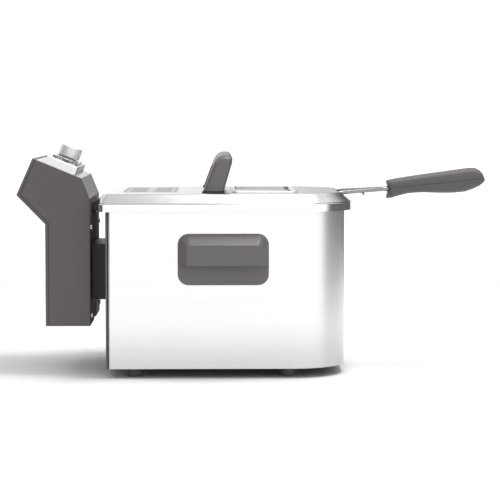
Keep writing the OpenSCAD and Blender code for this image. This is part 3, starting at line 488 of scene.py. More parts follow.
grey_plastic = moulded("grey_plastic", (0.106, 0.099, 0.095), 0.36)
grey_head = moulded("grey_head", (0.078, 0.071, 0.068), 0.45)
grey_front = moulded("grey_front", (0.095, 0.09, 0.086), 0.5)
soft_grip = moulded("soft_grip", (0.081, 0.076, 0.073), 0.5, 2200.0, 0.3)
black_plastic = moulded("black_plastic", (0.018, 0.018, 0.019), 0.42)
vent_plastic = moulded("vent_plastic", (0.34, 0.34, 0.345), 0.5)
rubber = moulded("rubber", (0.085, 0.085, 0.085), 0.72, 900.0, 0.4)
red_plastic = moulded("red_plastic", (0.42, 0.02, 0.015), 0.35)
white_plastic = moulded("white_plastic", (0.7, 0.7, 0.68), 0.4)
board_green = moulded("board_green", (0.01, 0.09, 0.03), 0.3, 700.0, 0.5)
cast_zinc = polished("cast_zinc", (0.5, 0.5, 0.5), 0.35, 500.0)
brass = polished("brass", (0.78, 0.58, 0.26), 0.2, 500.0)
black_glass = moulded("black_glass", (0.02, 0.024, 0.024), 0.2, 500.0, 0.05)
element_skin = moulded("element_skin", (0.07, 0.06, 0.055), 0.42, 500.0, 0.5)


def bezel(seal_top):
    """Steel above a height and a black seal below it."""
    finish = Finish("window_bezel")
    fine = finish.noise(1.0, 3.0, 0.65, finish.stretched(*TOP_GRAIN))
    steel = finish.node("SeparateXYZ", {}, {0: finish.place}, "Z").above(seal_top)
    finish.drive("Metallic", steel)
    bright = finish.tint(fine, (0.66, 0.66, 0.655), (0.8, 0.8, 0.795))
    finish.drive("Base Color", finish.mix(steel, (*SEAL_BLACK, 1), bright))
    finish.drive("Roughness", 0.3 + 0.12 * fine)
    finish.bump(fine, 0.3, 0.00006)
    return finish.material


def clear(name, colour, rough, ior=1.5):
    """Glass or clear plastic with a trace of haze."""
    finish = Finish(name, Transmission_Weight=1.0, IOR=ior)
    haze = finish.noise(30.0, 3.0)
    finish.drive("Base Color", finish.tint(haze, tuple(0.96 * c for c in colour), colour))
    finish.drive("Roughness", rough + 0.03 * haze)
    return finish.material


window_clear = clear("window_clear", (0.93, 0.97, 0.95), 0.01)
lens_clear = clear("lens_clear", (0.80, 0.90, 0.87), 0.03)


def felt(name):
    finish = Finish(name, Sheen_Weight=0.4)
    fibres = finish.noise(900.0, 4.0, 0.7)
    finish.drive("Base Color", finish.tint(fibres, (0.02, 0.02, 0.02), (0.12, 0.12, 0.115)))
    finish.drive("Roughness", 0.8 + 0.2 * fibres)
    finish.bump(fibres, 0.6, 0.0004)
    return finish.material


filter_felt = felt("filter_felt")
print("finishes", len(bpy.data.materials))

# %% [markdown]
# Two more ways to make a form. A prism starts from a filled outline that is extruded
# straight. A loft extrudes a loop of edges again and again, and each new loop is laid on
# the next section, so a slope, a crown or a grip grows ring by ring.

# %% Prism and loft helpers


def prism(name, outline, low_y, high_y):
    """Extrudes an outline of (x, z) points along Y."""
    deselect()
    bpy.ops.mesh.primitive_circle_add(vertices=len(outline), fill_type="NGON")
    piece = bpy.context.object
    piece.name = name
    for vertex, (x, z) in zip(piece.data.vertices, outline):
        vertex.co = (x, low_y, z)
    pick(piece, "FACE", lambda f: True)
    bpy.ops.mesh.extrude_region_move(TRANSFORM_OT_translate={"value": (0, high_y - low_y, 0)})
    done()
    outward(piece)
    return piece


def loft(name, rings, cap_first=True, cap_last=True):
    """Joins equal rings of points into one skin and closes its ends."""
    deselect()
    bpy.ops.mesh.primitive_circle_add(vertices=len(rings[0]), fill_type="NOTHING")
    piece = bpy.context.object
    piece.name = name
    for vertex, at in zip(piece.data.vertices, rings[0]):
        vertex.co = at
    count = len(rings[0])
    pick(piece, "VERT", lambda v: True)
    last = list(range(count))
    for ring in rings[1:]:
        bpy.ops.mesh.extrude_edges_move()
        mesh = bmesh.from_edit_mesh(piece.data)
        mesh.verts.index_update()
        fresh = {}
        for vertex in (v for v in mesh.verts if v.select):
            for edge in vertex.link_edges:
                other = edge.other_vert(vertex)
                if not other.select:
                    fresh[other.index] = vertex
        for index, at in zip(last, ring):
            fresh[index].co = at
        last = [fresh[index].index for index in last]
        bmesh.update_edit_mesh(piece.data)
    for wanted, ring in ((cap_first, range(count)), (cap_last, last)):
        if wanted:
            chosen = set(ring)
            pick(piece, "VERT", lambda v: v.index in chosen)
            bpy.ops.mesh.edge_face_add()
    done()
    outward(piece)
    return piece


def pad_ring(middle_x, middle_y, z, long, wide, radius, steps=5):
    """A rounded rectangle as a loop of points."""
    loop = []
    for i, j, start in ((1, 1, 0), (-1, 1, 90), (-1, -1, 180), (1, -1, 270)):
        for step in range(steps + 1):
            turn = math.radians(start + 90 * step / steps)
            loop.append(Vector((middle_x + i * (long / 2 - radius) + radius * math.cos(turn),
                                middle_y + j * (wide / 2 - radius) + radius * math.sin(turn), z)))
    return loop


def between(table, at):
    """Reads a table of (place, value) pairs along straight lines."""
    for (x0, y0), (x1, y1) in zip(table, table[1:]):
        if at <= x1:
            return y0 + (y1 - y0) * (at - x0) / (x1 - x0)
    return table[-1][1]


# %% [markdown]
# The housing is one sheet of steel wrapped round the front in two wide bends, with its
# open ends turned in at the rear. A block with rounded corners loses its top, bottom and
# rear, and Solidify gives the sheet its thickness.

# %% Housing shell
SHEET = 1.0 * MM
FRONT_ROUND = 65 * MM
REAR_ROUND = 4 * MM
house_low, house_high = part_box("outer_housing")
housing = d_block("housing_shell", house_low, house_high, FRONT_ROUND, REAR_ROUND, 32)
pick(housing, "FACE", lambda f: abs(f.normal.z) > 0.9)
bpy.ops.mesh.delete(type="FACE")
done()
pick(housing, "FACE", lambda f: f.normal.x < -0.99 and f.calc_area() > 0.01)
bpy.ops.mesh.delete(type="FACE")
done()
modify(housing, "SOLIDIFY", thickness=SHEET, offset=-1)
soften(housing, 0.25 * MM, 2, 60)
place(housing, steel_wall, "housing", "brushed_steel", "outer_housing")

# %% [markdown]
# The rear panel is a moulded plate whose edge shows as a dark line beside the steel. Its
# edges are rounded a little, and a shallow frame stiffens its outside.

# %% Rear panel
panel_low, panel_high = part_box("rear_panel")
PANEL_THICK = 2.0 * MM
rear_panel = block("rear_panel_plate", panel_low,
                   (panel_low.x + PANEL_THICK, panel_high.y, panel_high.z))
pick(rear_panel, "FACE", lambda f: f.normal.x < -0.9)
bpy.ops.mesh.inset(thickness=9 * MM, depth=0)
bpy.ops.mesh.inset(thickness=0.8 * MM, depth=-0.7 * MM)
done()
lip = block("panel_lip", (panel_low.x + PANEL_THICK, panel_low.y + 5 * MM, panel_low.z + 6 * MM),
            (panel_high.x, panel_high.y - 5 * MM, panel_high.z - 3 * MM))
cut(lip, block("tool", (panel_low.x, panel_low.y + 8 * MM, panel_low.z + 9 * MM),
               (panel_high.x + 5 * MM, panel_high.y - 8 * MM, panel_high.z - 6 * MM)))
rear_panel = join("rear_panel_plate", [rear_panel, lip])
soften(rear_panel, 0.4 * MM)
place(rear_panel, grey_front, "housing", "grey_plastic", "rear_panel")

# %% [markdown]
# The feet are turned rubber pads: a chamfered tread below, a rounded shoulder above, and
# a deep hole for the screw. One outline is spun, and the four copies get their own mesh.

# %% Feet
feet_low, feet_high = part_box("feet")
FOOT_RADIUS = 9 * MM
tall = feet_high.z - feet_low.z
foot_outline = [(3.6 * MM, 4 * MM), (3.6 * MM, 0), (FOOT_RADIUS - 2.2 * MM, 0),
                (FOOT_RADIUS - 0.9 * MM, 0.5 * MM), (FOOT_RADIUS - 0.2 * MM, 1.7 * MM),
                (FOOT_RADIUS, 2.8 * MM), (FOOT_RADIUS, tall - 1.2 * MM),
                (FOOT_RADIUS - 0.5 * MM, tall - 0.3 * MM), (FOOT_RADIUS - 1.2 * MM, tall),
                (1.8 * MM, tall)]
feet = []
for x in (feet_low.x + FOOT_RADIUS, feet_high.x - FOOT_RADIUS):
    for y in (feet_low.y + FOOT_RADIUS, feet_high.y - FOOT_RADIUS):
        foot = turned("foot", foot_outline, 32)
        feet.append(move(foot, Matrix.Translation((x, y, feet_low.z))))
feet = join("feet_rubber", feet)
soften(feet, 0)
place(feet, rubber, "housing", "rubber", "feet")

# %% [markdown]
# Each side handle is a hood: a rounded flange against the wall, and a facetted cover that
# is open below for the fingers. It is lofted from the flange out to its face, hollowed
# with a smaller loft, and its lower part is cut away.

# %% Side handles


def side_ring(box, side, out, shrink_x, shrink_z, radius):
    """One section of the hood, parallel to the housing wall."""
    low, high = box
    wall = low.y if side > 0 else high.y
    ring = pad_ring((low.x + high.x) / 2, (low.z + high.z) / 2, 0,
                    high.x - low.x - 2 * shrink_x, high.z - low.z - 2 * shrink_z, radius, 6)
    return [Vector((p.x, wall + side * out, p.y)) for p in ring]


def side_handle(node, side):
    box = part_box(node)
    low, high = box
    out = high.y - low.y
    flange = loft(node + "_flange", [side_ring(box, side, a, b, b, 13 * MM - b) for a, b in
                                     ((0, 0), (1.6 * MM, 0), (2.5 * MM, 0.4 * MM), (3 * MM, 1.2 * MM))])
    hood = loft(node + "_hood", [
        side_ring(box, side, 2.6 * MM, 0.7 * MM, 0.5 * MM, 12.4 * MM),
        side_ring(box, side, 4.2 * MM, 0.7 * MM, 0.6 * MM, 12.4 * MM),
        side_ring(box, side, out - 0.8 * MM, 10 * MM, 12.2 * MM, 5 * MM),
        side_ring(box, side, out, 10.8 * MM, 13 * MM, 4.4 * MM)])
    lip_z = low.z + 23.8 * MM
    wall = low.y if side > 0 else high.y
    reach = sorted((wall - side * 10 * MM, wall + side * 40 * MM))
    cut(hood, block("tool", (low.x - PAST, reach[0], low.z - PAST),
                    (high.x + PAST, reach[1], lip_z)))
    cut(hood, loft("tool", [side_ring(box, side, 3.3 * MM, 6 * MM, 6 * MM, 9 * MM),
                            side_ring(box, side, out - 3.6 * MM, 13 * MM, 15 * MM, 4 * MM)]))
    soften(hood, 0.5 * MM, 2, 30)
    soften(flange, 0, smooth=40)
    hood = join(node + "_hood", [hood, flange])
    return place(hood, grey_plastic, "housing", "grey_plastic", node)


side_handle("side_handle_left", -1)
side_handle("side_handle_right", 1)

# %% [markdown]
# The oil pot is drawn from sheet, so its floor turns up in a soft bend and its wall is
# thin. Its rim lies over the housing as a flat collar with a band turned down outside.

# %% Oil pot and rim
pot_low, pot_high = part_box("oil_pot")
rim_low, rim_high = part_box("pot_rim")
POT_ROUND, POT_REAR = 53 * MM, 14 * MM
pot = d_block("oil_pot_tub", pot_low, pot_high, POT_ROUND, POT_REAR, 24, 8)
round_edges(pot, lowest(pot_low.z), 9 * MM, 5)
pick(pot, "FACE", lambda f: f.normal.z > 0.9)
bpy.ops.mesh.delete(type="FACE")
done()
modify(pot, "SOLIDIFY", thickness=SHEET, offset=-1)
soften(pot, 0)
place(pot, steel_pot, "pot", "pot_steel", "oil_pot")

rim = d_block("pot_rim_band", rim_low, rim_high, FRONT_ROUND + 8 * MM, REAR_ROUND + 3 * MM, 32, 8)
round_edges(rim, highest(rim_high.z), 1.4 * MM, 4)
cut(rim, d_block("tool", (rim_low.x + SHEET, rim_low.y + SHEET, rim_low.z - PAST),
                 (rim_high.x - SHEET, rim_high.y - SHEET, rim_high.z - SHEET),
                 FRONT_ROUND + 7 * MM, REAR_ROUND + 2 * MM, 32, 8))
cut(rim, d_block("tool", (pot_low.x, pot_low.y, rim_low.z - PAST),
                 (pot_high.x, pot_high.y, rim_high.z + PAST), POT_ROUND, POT_REAR, 24, 8))
soften(rim, 0)
place(rim, steel_rim, "pot", "polished_steel", "pot_rim")

# %% [markdown]
# A folded saddle on the rim's front carries the basket's handle rods. Its side outline is
# extruded across the fryer and hollowed from below by a thinner copy.

# %% Handle rest
rest_low, rest_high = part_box("handle_rest")


def rest_outline(inward):
    top = rest_high.z - inward
    front = rest_high.x - inward
    return [(rest_low.x + inward, rim_high.z - 5 * inward), (rest_low.x + inward, top - 1.6 * MM),
            (rest_low.x + 1.2 * MM + 0.4 * inward, top),
            (rest_low.x + 4.2 * MM - 0.4 * inward, top),
            (front - 0.9 * MM, rim_high.z - 0.9 * MM), (front, rim_high.z - 2.6 * MM),
            (front, rest_low.z - 5 * inward), (rim_high.x + 0.02 * MM, rest_low.z - 5 * inward),
            (rim_high.x + 0.02 * MM, rim_high.z - 5 * inward)]


rest = prism("handle_rest_saddle", rest_outline(0), rest_low.y, rest_high.y)
cut(rest, prism("tool", rest_outline(0.8 * MM), rest_low.y + 0.8 * MM, rest_high.y - 0.8 * MM))
soften(rest, 0.3 * MM, 2)
place(rest, steel_rim, "pot", "polished_steel", "handle_rest")

# %% [markdown]
# The lid is pressed from sheet: a foot on the rim, a slope all round that leans in, a soft
# bend, and a flat top. The slope is steeper at the rear, so each ring of the loft keeps
# its corner rounds and moves its sides in by their own amounts.

# %% Lid shell
lid_low, lid_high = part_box("lid_shell")
LEAN, LEAN_REAR = 12 * MM, 5 * MM
LID_FRONT, LID_REAR = FRONT_ROUND + 8 * MM - 0.8 * MM, 7 * MM


def lid_ring(share, share_rear, z):
    """The lid's plan once the slope has leaned in by a share of its whole lean."""
    lean, behind = LEAN * share, LEAN_REAR * share_rear
    return plan_outline(lid_low.x + behind, lid_high.x - lean, lid_high.y - lid_low.y - 2 * lean,
                        LID_FRONT - lean, LID_REAR, z, 20)


lid_rise = lid_high.z - lid_low.z
lid = loft("lid_pressing", [
    lid_ring(0, 0, lid_low.z), lid_ring(0, 0, lid_low.z + 0.7 * MM),
    lid_ring(0.48, 0.1, lid_low.z + 0.5 * lid_rise), lid_ring(0.54, 0.2, lid_low.z + 0.56 * lid_rise),
    lid_ring(0.86, 0.86, lid_high.z - 1.3 * MM), lid_ring(0.95, 0.97, lid_high.z - 0.55 * MM),
    lid_ring(1.06, 1.1, lid_high.z - 0.12 * MM), lid_ring(1.18, 1.3, lid_high.z)], cap_first=False)
modify(lid, "SOLIDIFY", thickness=SHEET, offset=-1)

window_low, window_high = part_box("window_frame")
vent_low, vent_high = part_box("vent_frame")
LIP = 3 * MM
cut(lid, pad_block("tool", (window_low.x + LIP, window_low.y + LIP, lid_low.z - PAST),
                   (window_high.x - LIP, window_high.y - LIP, lid_high.z + PAST), 8 * MM))
cut(lid, pad_block("tool", (vent_low.x, vent_low.y, lid_low.z - PAST),
                   (vent_high.x, vent_high.y, lid_high.z + PAST), 6 * MM))
GAP_HALF = 59 * MM
cut(lid, block("tool", (lid_high.x - LEAN - 3 * MM, -GAP_HALF, lid_low.z - PAST),
               (lid_high.x + 0.05, GAP_HALF, lid_high.z + PAST)))
neck_low, neck_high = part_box("element_neck")
cut(lid, block("tool", (lid_low.x - PAST, neck_low.y - 2 * MM, lid_low.z - PAST),
               (lid_low.x + 21.7 * MM, neck_high.y + 2 * MM, neck_high.z + 0.6 * MM)))
soften(lid, 0)
place(lid, steel_lid, "lid", "brushed_steel", "lid_shell")

# %% [markdown]
# A pressed steel bezel frames the viewing window and covers the cut edge of the lid. Its
# finish turns to a black seal below the height where it meets the glass.

# %% Window
glass_low, glass_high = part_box("window_glass")
bezel_ring = pad_block("window_bezel", (window_low.x, window_low.y, lid_high.z), window_high,
                       9 * MM, 8)
round_edges(bezel_ring, highest(window_high.z), 0.8 * MM, 3)
cut(bezel_ring, pad_block("tool", (glass_low.x, glass_low.y, window_low.z - PAST),
                          (glass_high.x, glass_high.y, window_high.z + PAST), 5 * MM, 6))
well = pad_block("window_well", (window_low.x + LIP, window_low.y + LIP, window_low.z),
                 (window_high.x - LIP, window_high.y - LIP, lid_high.z), 8 * MM, 8)
cut(well, pad_block("tool", (glass_low.x, glass_low.y, glass_low.z),
                    (glass_high.x, glass_high.y, window_high.z + PAST), 5 * MM, 6))
LEDGE = 2.5 * MM
cut(well, pad_block("tool", (glass_low.x + LEDGE, glass_low.y + LEDGE, window_low.z - PAST),
                    (glass_high.x - LEDGE, glass_high.y - LEDGE, window_high.z + PAST), 3 * MM, 6))
bezel_ring = join("window_bezel", [bezel_ring, well])
soften(bezel_ring, 0)
place(bezel_ring, bezel(glass_high.z), "lid", "brushed_steel", "window_frame")

pane = pad_block("window_pane", glass_low, glass_high, 5 * MM, 6)
round_edges(pane, highest(glass_high.z), 0.9 * MM, 1)
soften(pane, 0.15 * MM, 1)
place(pane, window_clear, "lid", "glass", "window_glass")

# %% [markdown]
# The vent cover is a flat moulded plate with two rows of slots over the filter. One long
# rounded bar is copied into every slot's place, and all the bars are cut out at once.

# %% Vent cover
cover_low, cover_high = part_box("vent_cover")
cover = pad_block("vent_grille", cover_low, cover_high, 3.5 * MM)
round_edges(cover, highest(cover_high.z), 0.5 * MM, 2)
SLOT_PITCH, SLOT_WIDE = 9 * MM, 3.2 * MM
wide, long = cover_high.y - cover_low.y, cover_high.x - cover_low.x
slot_count = int((wide - 20 * MM) / SLOT_PITCH)
bars = []
for row in (-1, 1):
    for index in range(slot_count):
        x = (cover_low.x + cover_high.x) / 2 + row * long / 4
        y = (index - (slot_count - 1) / 2) * SLOT_PITCH
        half_long = long / 4 - 4.5 * MM
        bars.append(pad_block("bar", (x - half_long, y - SLOT_WIDE / 2, cover_low.z - 0.005),
                              (x + half_long, y + SLOT_WIDE / 2, cover_high.z + 0.005), 1.5 * MM, 4))
cut(cover, join("tool", bars))
soften(cover, 0)
place(cover, vent_plastic, "vent", "vent_plastic", "vent_cover")

# %% [markdown]
# The lid handle is a broad bar on two legs that leans to the front. It is lofted from its
# foot to its crown with facetted corners, the space for the fingers is cut through, and
# the new edges are rounded for the hand.

# %% Lid handle
bar_low, bar_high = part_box("lid_handle")
base_low, base_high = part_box("lid_handle_base")
foot_x = (base_low.x + base_high.x) / 2
LEAN_BAR = 14 * MM
span = bar_high.y - bar_low.y
handle = loft("lid_handle_bar", [
    pad_ring(foot_x, 0, bar_low.z, 25 * MM, span, 5 * MM, 3),
    pad_ring(foot_x + LEAN_BAR * 0.82, 0, bar_high.z - 10 * MM, 22 * MM, span - 3 * MM, 6.5 * MM, 3),
    pad_ring(foot_x + LEAN_BAR * 0.93, 0, bar_high.z - 5 * MM, 20 * MM, span - 7 * MM, 7 * MM, 3),
    pad_ring(foot_x + LEAN_BAR, 0, bar_high.z - 1.8 * MM, 14.5 * MM, span - 15 * MM, 6 * MM, 3),
    pad_ring(foot_x + LEAN_BAR, 0, bar_high.z, 7 * MM, span - 27 * MM, 3 * MM, 3)])
LEG = 18 * MM
tunnel = block("tool", (foot_x - 0.06, -span / 2 + LEG, bar_low.z - PAST),
               (foot_x + 0.08, span / 2 - LEG, bar_low.z + 29 * MM))
round_edges(tunnel, lambda e: middle(e).z > bar_low.z
            and abs(e.verts[0].co.x - e.verts[1].co.x) > 0.1, 9 * MM, 6)
cut(handle, tunnel)
soften(handle, 1.0 * MM, 3, 28)
place(handle, grey_plastic, "lid", "grey_plastic", "lid_handle")

# %% [markdown]
# The control head is a moulded shell. Its side outline is drawn once, extruded across the
# fryer, and hollowed with the same outline moved in by the wall. The sloped top has a
# frame of its own, so the panel, the block, the lens and the dial are built flat in it.

# %% Head shell
SHELL_WALL, FIT = 2.5 * MM, 0.2 * MM
HOOD_BACK, HOOD_IN, BROW_IN = 34 * MM, 14.5 * MM, 10 * MM
front_low, front_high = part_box("head_front")
inlet_low, inlet_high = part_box("power_inlet")
cover_low, cover_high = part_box("head_cover")
HEAD_LOW, HEAD_FRONT = cover_low.z, front_high.x
HEAD_REAR = HEAD_FRONT - 53.5 * MM
HOOD_LOW, HOOD_BEND, HOOD_TOP = HEAD_LOW + 122.6 * MM, HEAD_LOW + 157.4 * MM, HEAD_LOW + 201.3 * MM
BROW_LOW, BROW_TOP = HEAD_LOW + 152.6 * MM, HEAD_LOW + 177.5 * MM
head_half = cover_high.y
head_corners = [Vector(at) for at in (
    (HEAD_REAR, HEAD_LOW), (HEAD_FRONT, HEAD_LOW), (HEAD_FRONT, BROW_LOW),
    (HEAD_FRONT - BROW_IN, BROW_TOP), (HEAD_REAR - HOOD_IN, HOOD_TOP),
    (HEAD_REAR - HOOD_BACK, HOOD_BEND), (HEAD_REAR, HOOD_LOW))]


def moved_in(corners, distance):
    """An outline moved in by a distance, with its corners kept sharp."""
    inner = []
    for index, at in enumerate(corners):
        before = (at - corners[index - 1]).normalized()
        after = (corners[(index + 1) % len(corners)] - at).normalized()
        n_before, n_after = Vector((-before.y, before.x)), Vector((-after.y, after.x))
        inner.append(at + (n_before + n_after) * distance / (1 + n_before.dot(n_after)))
    return inner


panel_start = Vector((HEAD_REAR - HOOD_IN, HOOD_TOP))
panel_end = Vector((HEAD_FRONT - BROW_IN, BROW_TOP))
PANEL_TURN = math.atan2(panel_start.y - panel_end.y, panel_end.x - panel_start.x)
panel_long = (panel_end - panel_start).length
panel_middle = (panel_start + panel_end) / 2
ON_PANEL = (Matrix.Translation((panel_middle.x, 0, panel_middle.y))
            @ Matrix.Rotation(PANEL_TURN, 4, "Y"))

head = prism("head_shell", head_corners, -head_half, head_half)


def seam_line(distance):
    """The line where the two halves of the moulding meet, a distance in from the rear edges."""
    inner = moved_in(head_corners, distance)
    top, bend, bottom = head_corners[4], head_corners[5], head_corners[0]
    rise = (top - bend).normalized()
    return [bottom + Vector((distance, -1 * MM)), inner[6], inner[5],
            top + Vector((rise.y, -rise.x)) * distance + rise * MM]


for side in (-1, 1):
    deep = sorted((side * (head_half - 0.8 * MM), side * (head_half + 1 * MM)))
    cut(head, prism("tool", seam_line(3.3 * MM) + seam_line(4.1 * MM)[::-1], *deep))
cut(head, prism("tool", moved_in(head_corners, SHELL_WALL), -head_half + SHELL_WALL,
                head_half - SHELL_WALL))
cut(head, block("tool", (HEAD_FRONT - SHELL_WALL, front_low.y - FIT, front_low.z - FIT),
                (HEAD_FRONT + PAST, front_high.y + FIT, front_high.z + FIT)))
EDGE = 4 * MM
PLATE = 1.5 * MM
cut(head, move(block("tool", (-panel_long / 2 + EDGE, -head_half + EDGE, -PLATE),
                     (panel_long / 2 + 0.02, head_half - EDGE, 0.01)), ON_PANEL))
BLOCK_WIDE = 138 * MM
cut(head, move(block("tool", (-panel_long / 2 + 12 * MM, -BLOCK_WIDE / 2 + 6 * MM, -0.012),
                     (panel_long / 2 - 12 * MM, BLOCK_WIDE / 2 - 6 * MM, 0)), ON_PANEL))
brow_down = Vector((BROW_IN, BROW_LOW - BROW_TOP))
ON_BROW = Matrix.Translation((panel_end.x, 0, panel_end.y)) @ Matrix.Rotation(
    math.atan2(-brow_down.y, brow_down.x), 4, "Y")
cut(head, move(block("tool", (-3 * MM, -head_half + EDGE, -PLATE),
                     (brow_down.length - 0.7 * MM, head_half - EDGE, 0.01)), ON_BROW))
rail_half = 17 * MM
cut(head, block("tool", (HEAD_FRONT - 17 * MM, -rail_half, HEAD_LOW - 0.001),
                (HEAD_FRONT + 3 * MM, rail_half, HEAD_LOW + 9 * MM)))
cut(head, pad_block("tool", (inlet_low.x + 3 * MM, inlet_low.y + 3 * MM, HEAD_LOW - 0.001),
                    (inlet_high.x - 3 * MM, inlet_high.y - 3 * MM, HEAD_LOW + 11 * MM), 3 * MM))
reset_low, reset_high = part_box("reset_button")
RESET = Vector((HEAD_REAR, (reset_low.y + reset_high.y) / 2, (reset_low.z + reset_high.z) / 2))
hole = turned("tool", [(0, -12 * MM), (4.8 * MM, -12 * MM), (4.8 * MM, 4 * MM), (0, 4 * MM)], 32)
move(hole, Matrix.Translation(RESET) @ Matrix.Rotation(math.radians(-90), 4, "Y"))
cut(head, hole)
soften(head, 0.9 * MM, 3, 30)
place(head, grey_head, "head", "grey_plastic", "head_cover")

# %% [markdown]
# A brushed plate covers the slope and folds down over the brow, held in a shallow recess
# so that a plastic edge frames it. The raised block on it has a bevelled rear end.

# %% Panel plate and control block
plate_half = head_half - EDGE - 0.2 * MM
up = (panel_start - panel_end).normalized()
down = brow_down.normalized()
n_top, n_brow = Vector((math.sin(PANEL_TURN), math.cos(PANEL_TURN))), Vector((-down.y, down.x))
rear = panel_end + up * (panel_long - EDGE - 0.2 * MM)
foot = panel_end + down * (brow_down.length - 0.9 * MM)
inner_fold = panel_end - (n_top + n_brow) * PLATE / (1 + n_top.dot(n_brow))
plate = prism("panel_plate_cover", [rear, panel_end, foot, foot - n_brow * PLATE, inner_fold,
                                    rear - n_top * PLATE], -plate_half, plate_half)
cut(plate, move(block("tool", (-panel_long / 2 + 13 * MM, -BLOCK_WIDE / 2 + 7 * MM, -0.012),
                      (panel_long / 2 - 13 * MM, BLOCK_WIDE / 2 - 7 * MM, 0.012)), ON_PANEL))
LINE_AT = panel_long / 2 - 2.2 * MM
cut(plate, move(block("tool", (LINE_AT - 0.3 * MM, -plate_half - PAST, -0.25 * MM),
                      (LINE_AT + 0.3 * MM, plate_half + PAST, 0.01)), ON_PANEL))
soften(plate, 0.3 * MM, 2)
place(plate, steel_panel, "head", "brushed_steel", "panel_plate")

BLOCK_TALL = 9 * MM
block_start, block_end = -panel_long / 2 + 9 * MM, panel_long / 2 - 9 * MM
block_mid, block_long = (block_start + block_end) / 2, block_end - block_start
raised = loft("control_block_cover", [
    pad_ring(block_mid + shift * MM, 0, z, block_long - shorter * MM, BLOCK_WIDE - narrower * MM,
             radius * MM)
    for shift, z, shorter, narrower, radius in (
        (0, 0, 0, 0, 2.5), (0, 0.5 * MM, 0, 0, 2.5), (2.4, BLOCK_TALL - 0.9 * MM, 5.6, 5.4, 2.2),
        (2.5, BLOCK_TALL - 0.3 * MM, 6.4, 6.4, 2), (2.5, BLOCK_TALL, 7.6, 7.6, 1.6))])
cut(raised, pad_block("tool", (block_start + 6 * MM, -BLOCK_WIDE / 2 + 6 * MM, -0.001),
                      (block_end - 6 * MM, BLOCK_WIDE / 2 - 6 * MM, BLOCK_TALL - 3 * MM), 2 * MM))
LENS_X, LENS_Y, LENS_LONG, LENS_WIDE, LENS_TALL = 3 * MM, -8 * MM, 32 * MM, 100 * MM, 3.3 * MM
cut(raised, pad_block("tool", (LENS_X - LENS_LONG / 2, LENS_Y - LENS_WIDE / 2, 0),
                      (LENS_X + LENS_LONG / 2, LENS_Y + LENS_WIDE / 2, 0.02), 2 * MM))
soften(raised, 0.2 * MM, 1)
move(raised, ON_PANEL)
place(raised, steel_block, "head", "brushed_steel", "control_block")

# %% [markdown]
# The display sits under a thick clear plate with polished edges. Its lower part fills the
# opening in the block and the upper part stands proud, so light catches both steps.

# %% Display lens
DIAL_X, DIAL_Y = 1 * MM, 14 * MM
lens = loft("display_lens_plate", [
    pad_ring(LENS_X, LENS_Y, BLOCK_TALL + z, LENS_LONG - less * MM, LENS_WIDE - less * MM, radius * MM)
    for z, less, radius in ((-3 * MM, 0.4, 1.9), (0.5 * MM, 0.4, 1.9), (0.9 * MM, 1.2, 1.6),
                            (LENS_TALL - 0.4 * MM, 1.2, 1.6), (LENS_TALL, 2.2, 1.2))])
bore = turned("tool", [(0, 0), (4 * MM, 0), (4 * MM, 20 * MM), (0, 20 * MM)], 32)
cut(lens, move(bore, Matrix.Translation((DIAL_X, DIAL_Y, 0))))
soften(lens, 0.15 * MM, 1)
move(lens, ON_PANEL)
place(lens, lens_clear, "head", "glass", "display_lens")

# %% [markdown]
# The dial is turned metal: a fine groove near its foot, a chamfer with a soft edge, and a
# shallow dish on top with a raised lip. A small bar near the rear edge is its mark.

# %% Dial
DIAL_FOOT = BLOCK_TALL + LENS_TALL + 0.7 * MM
DIAL_R, DIAL_TALL = 14 * MM, 14 * MM
dial = turned("dial_knob", [
    (3 * MM, DIAL_TALL - 4 * MM), (3 * MM, 0), (5.5 * MM, 0), (5.5 * MM, DIAL_TALL - 2.5 * MM),
    (DIAL_R - 2 * MM, DIAL_TALL - 2.5 * MM), (DIAL_R - 2 * MM, 0), (DIAL_R - 0.4 * MM, 0),
    (DIAL_R, 0.4 * MM), (DIAL_R, 1.5 * MM), (DIAL_R - 0.35 * MM, 1.7 * MM),
    (DIAL_R - 0.35 * MM, 2.2 * MM), (DIAL_R, 2.4 * MM),
    (DIAL_R, DIAL_TALL - 1.7 * MM), (DIAL_R - 0.25 * MM, DIAL_TALL - 1.2 * MM),
    (DIAL_R - 1.25 * MM, DIAL_TALL - 0.1 * MM), (DIAL_R - 1.5 * MM, DIAL_TALL),
    (DIAL_R - 2 * MM, DIAL_TALL - 0.1 * MM), (DIAL_R - 2.4 * MM, DIAL_TALL - 0.5 * MM),
    (0.3 * MM, DIAL_TALL - 0.8 * MM), (0.0, DIAL_TALL - 0.8 * MM)], 96)
soften(dial, 0, smooth=28)
ON_DIAL = ON_PANEL @ Matrix.Translation((DIAL_X, DIAL_Y, DIAL_FOOT))
mark = pad_block("dial_mark", (-DIAL_R + 3.2 * MM, -0.6 * MM, DIAL_TALL - 0.9 * MM),
                 (-DIAL_R + 7.2 * MM, 0.6 * MM, DIAL_TALL - 0.45 * MM), 0.55 * MM, 4)
dial = join("dial_knob", [dial, mark])
move(dial, ON_DIAL)
place(dial, dial_metal, "dial", "brushed_steel", "dial")

# %% [markdown]
# The neck is the black moulding that hooks over the rim. Its side outline is extruded
# between its two ends, the space for its tabs is cut away, and the edges are rounded.

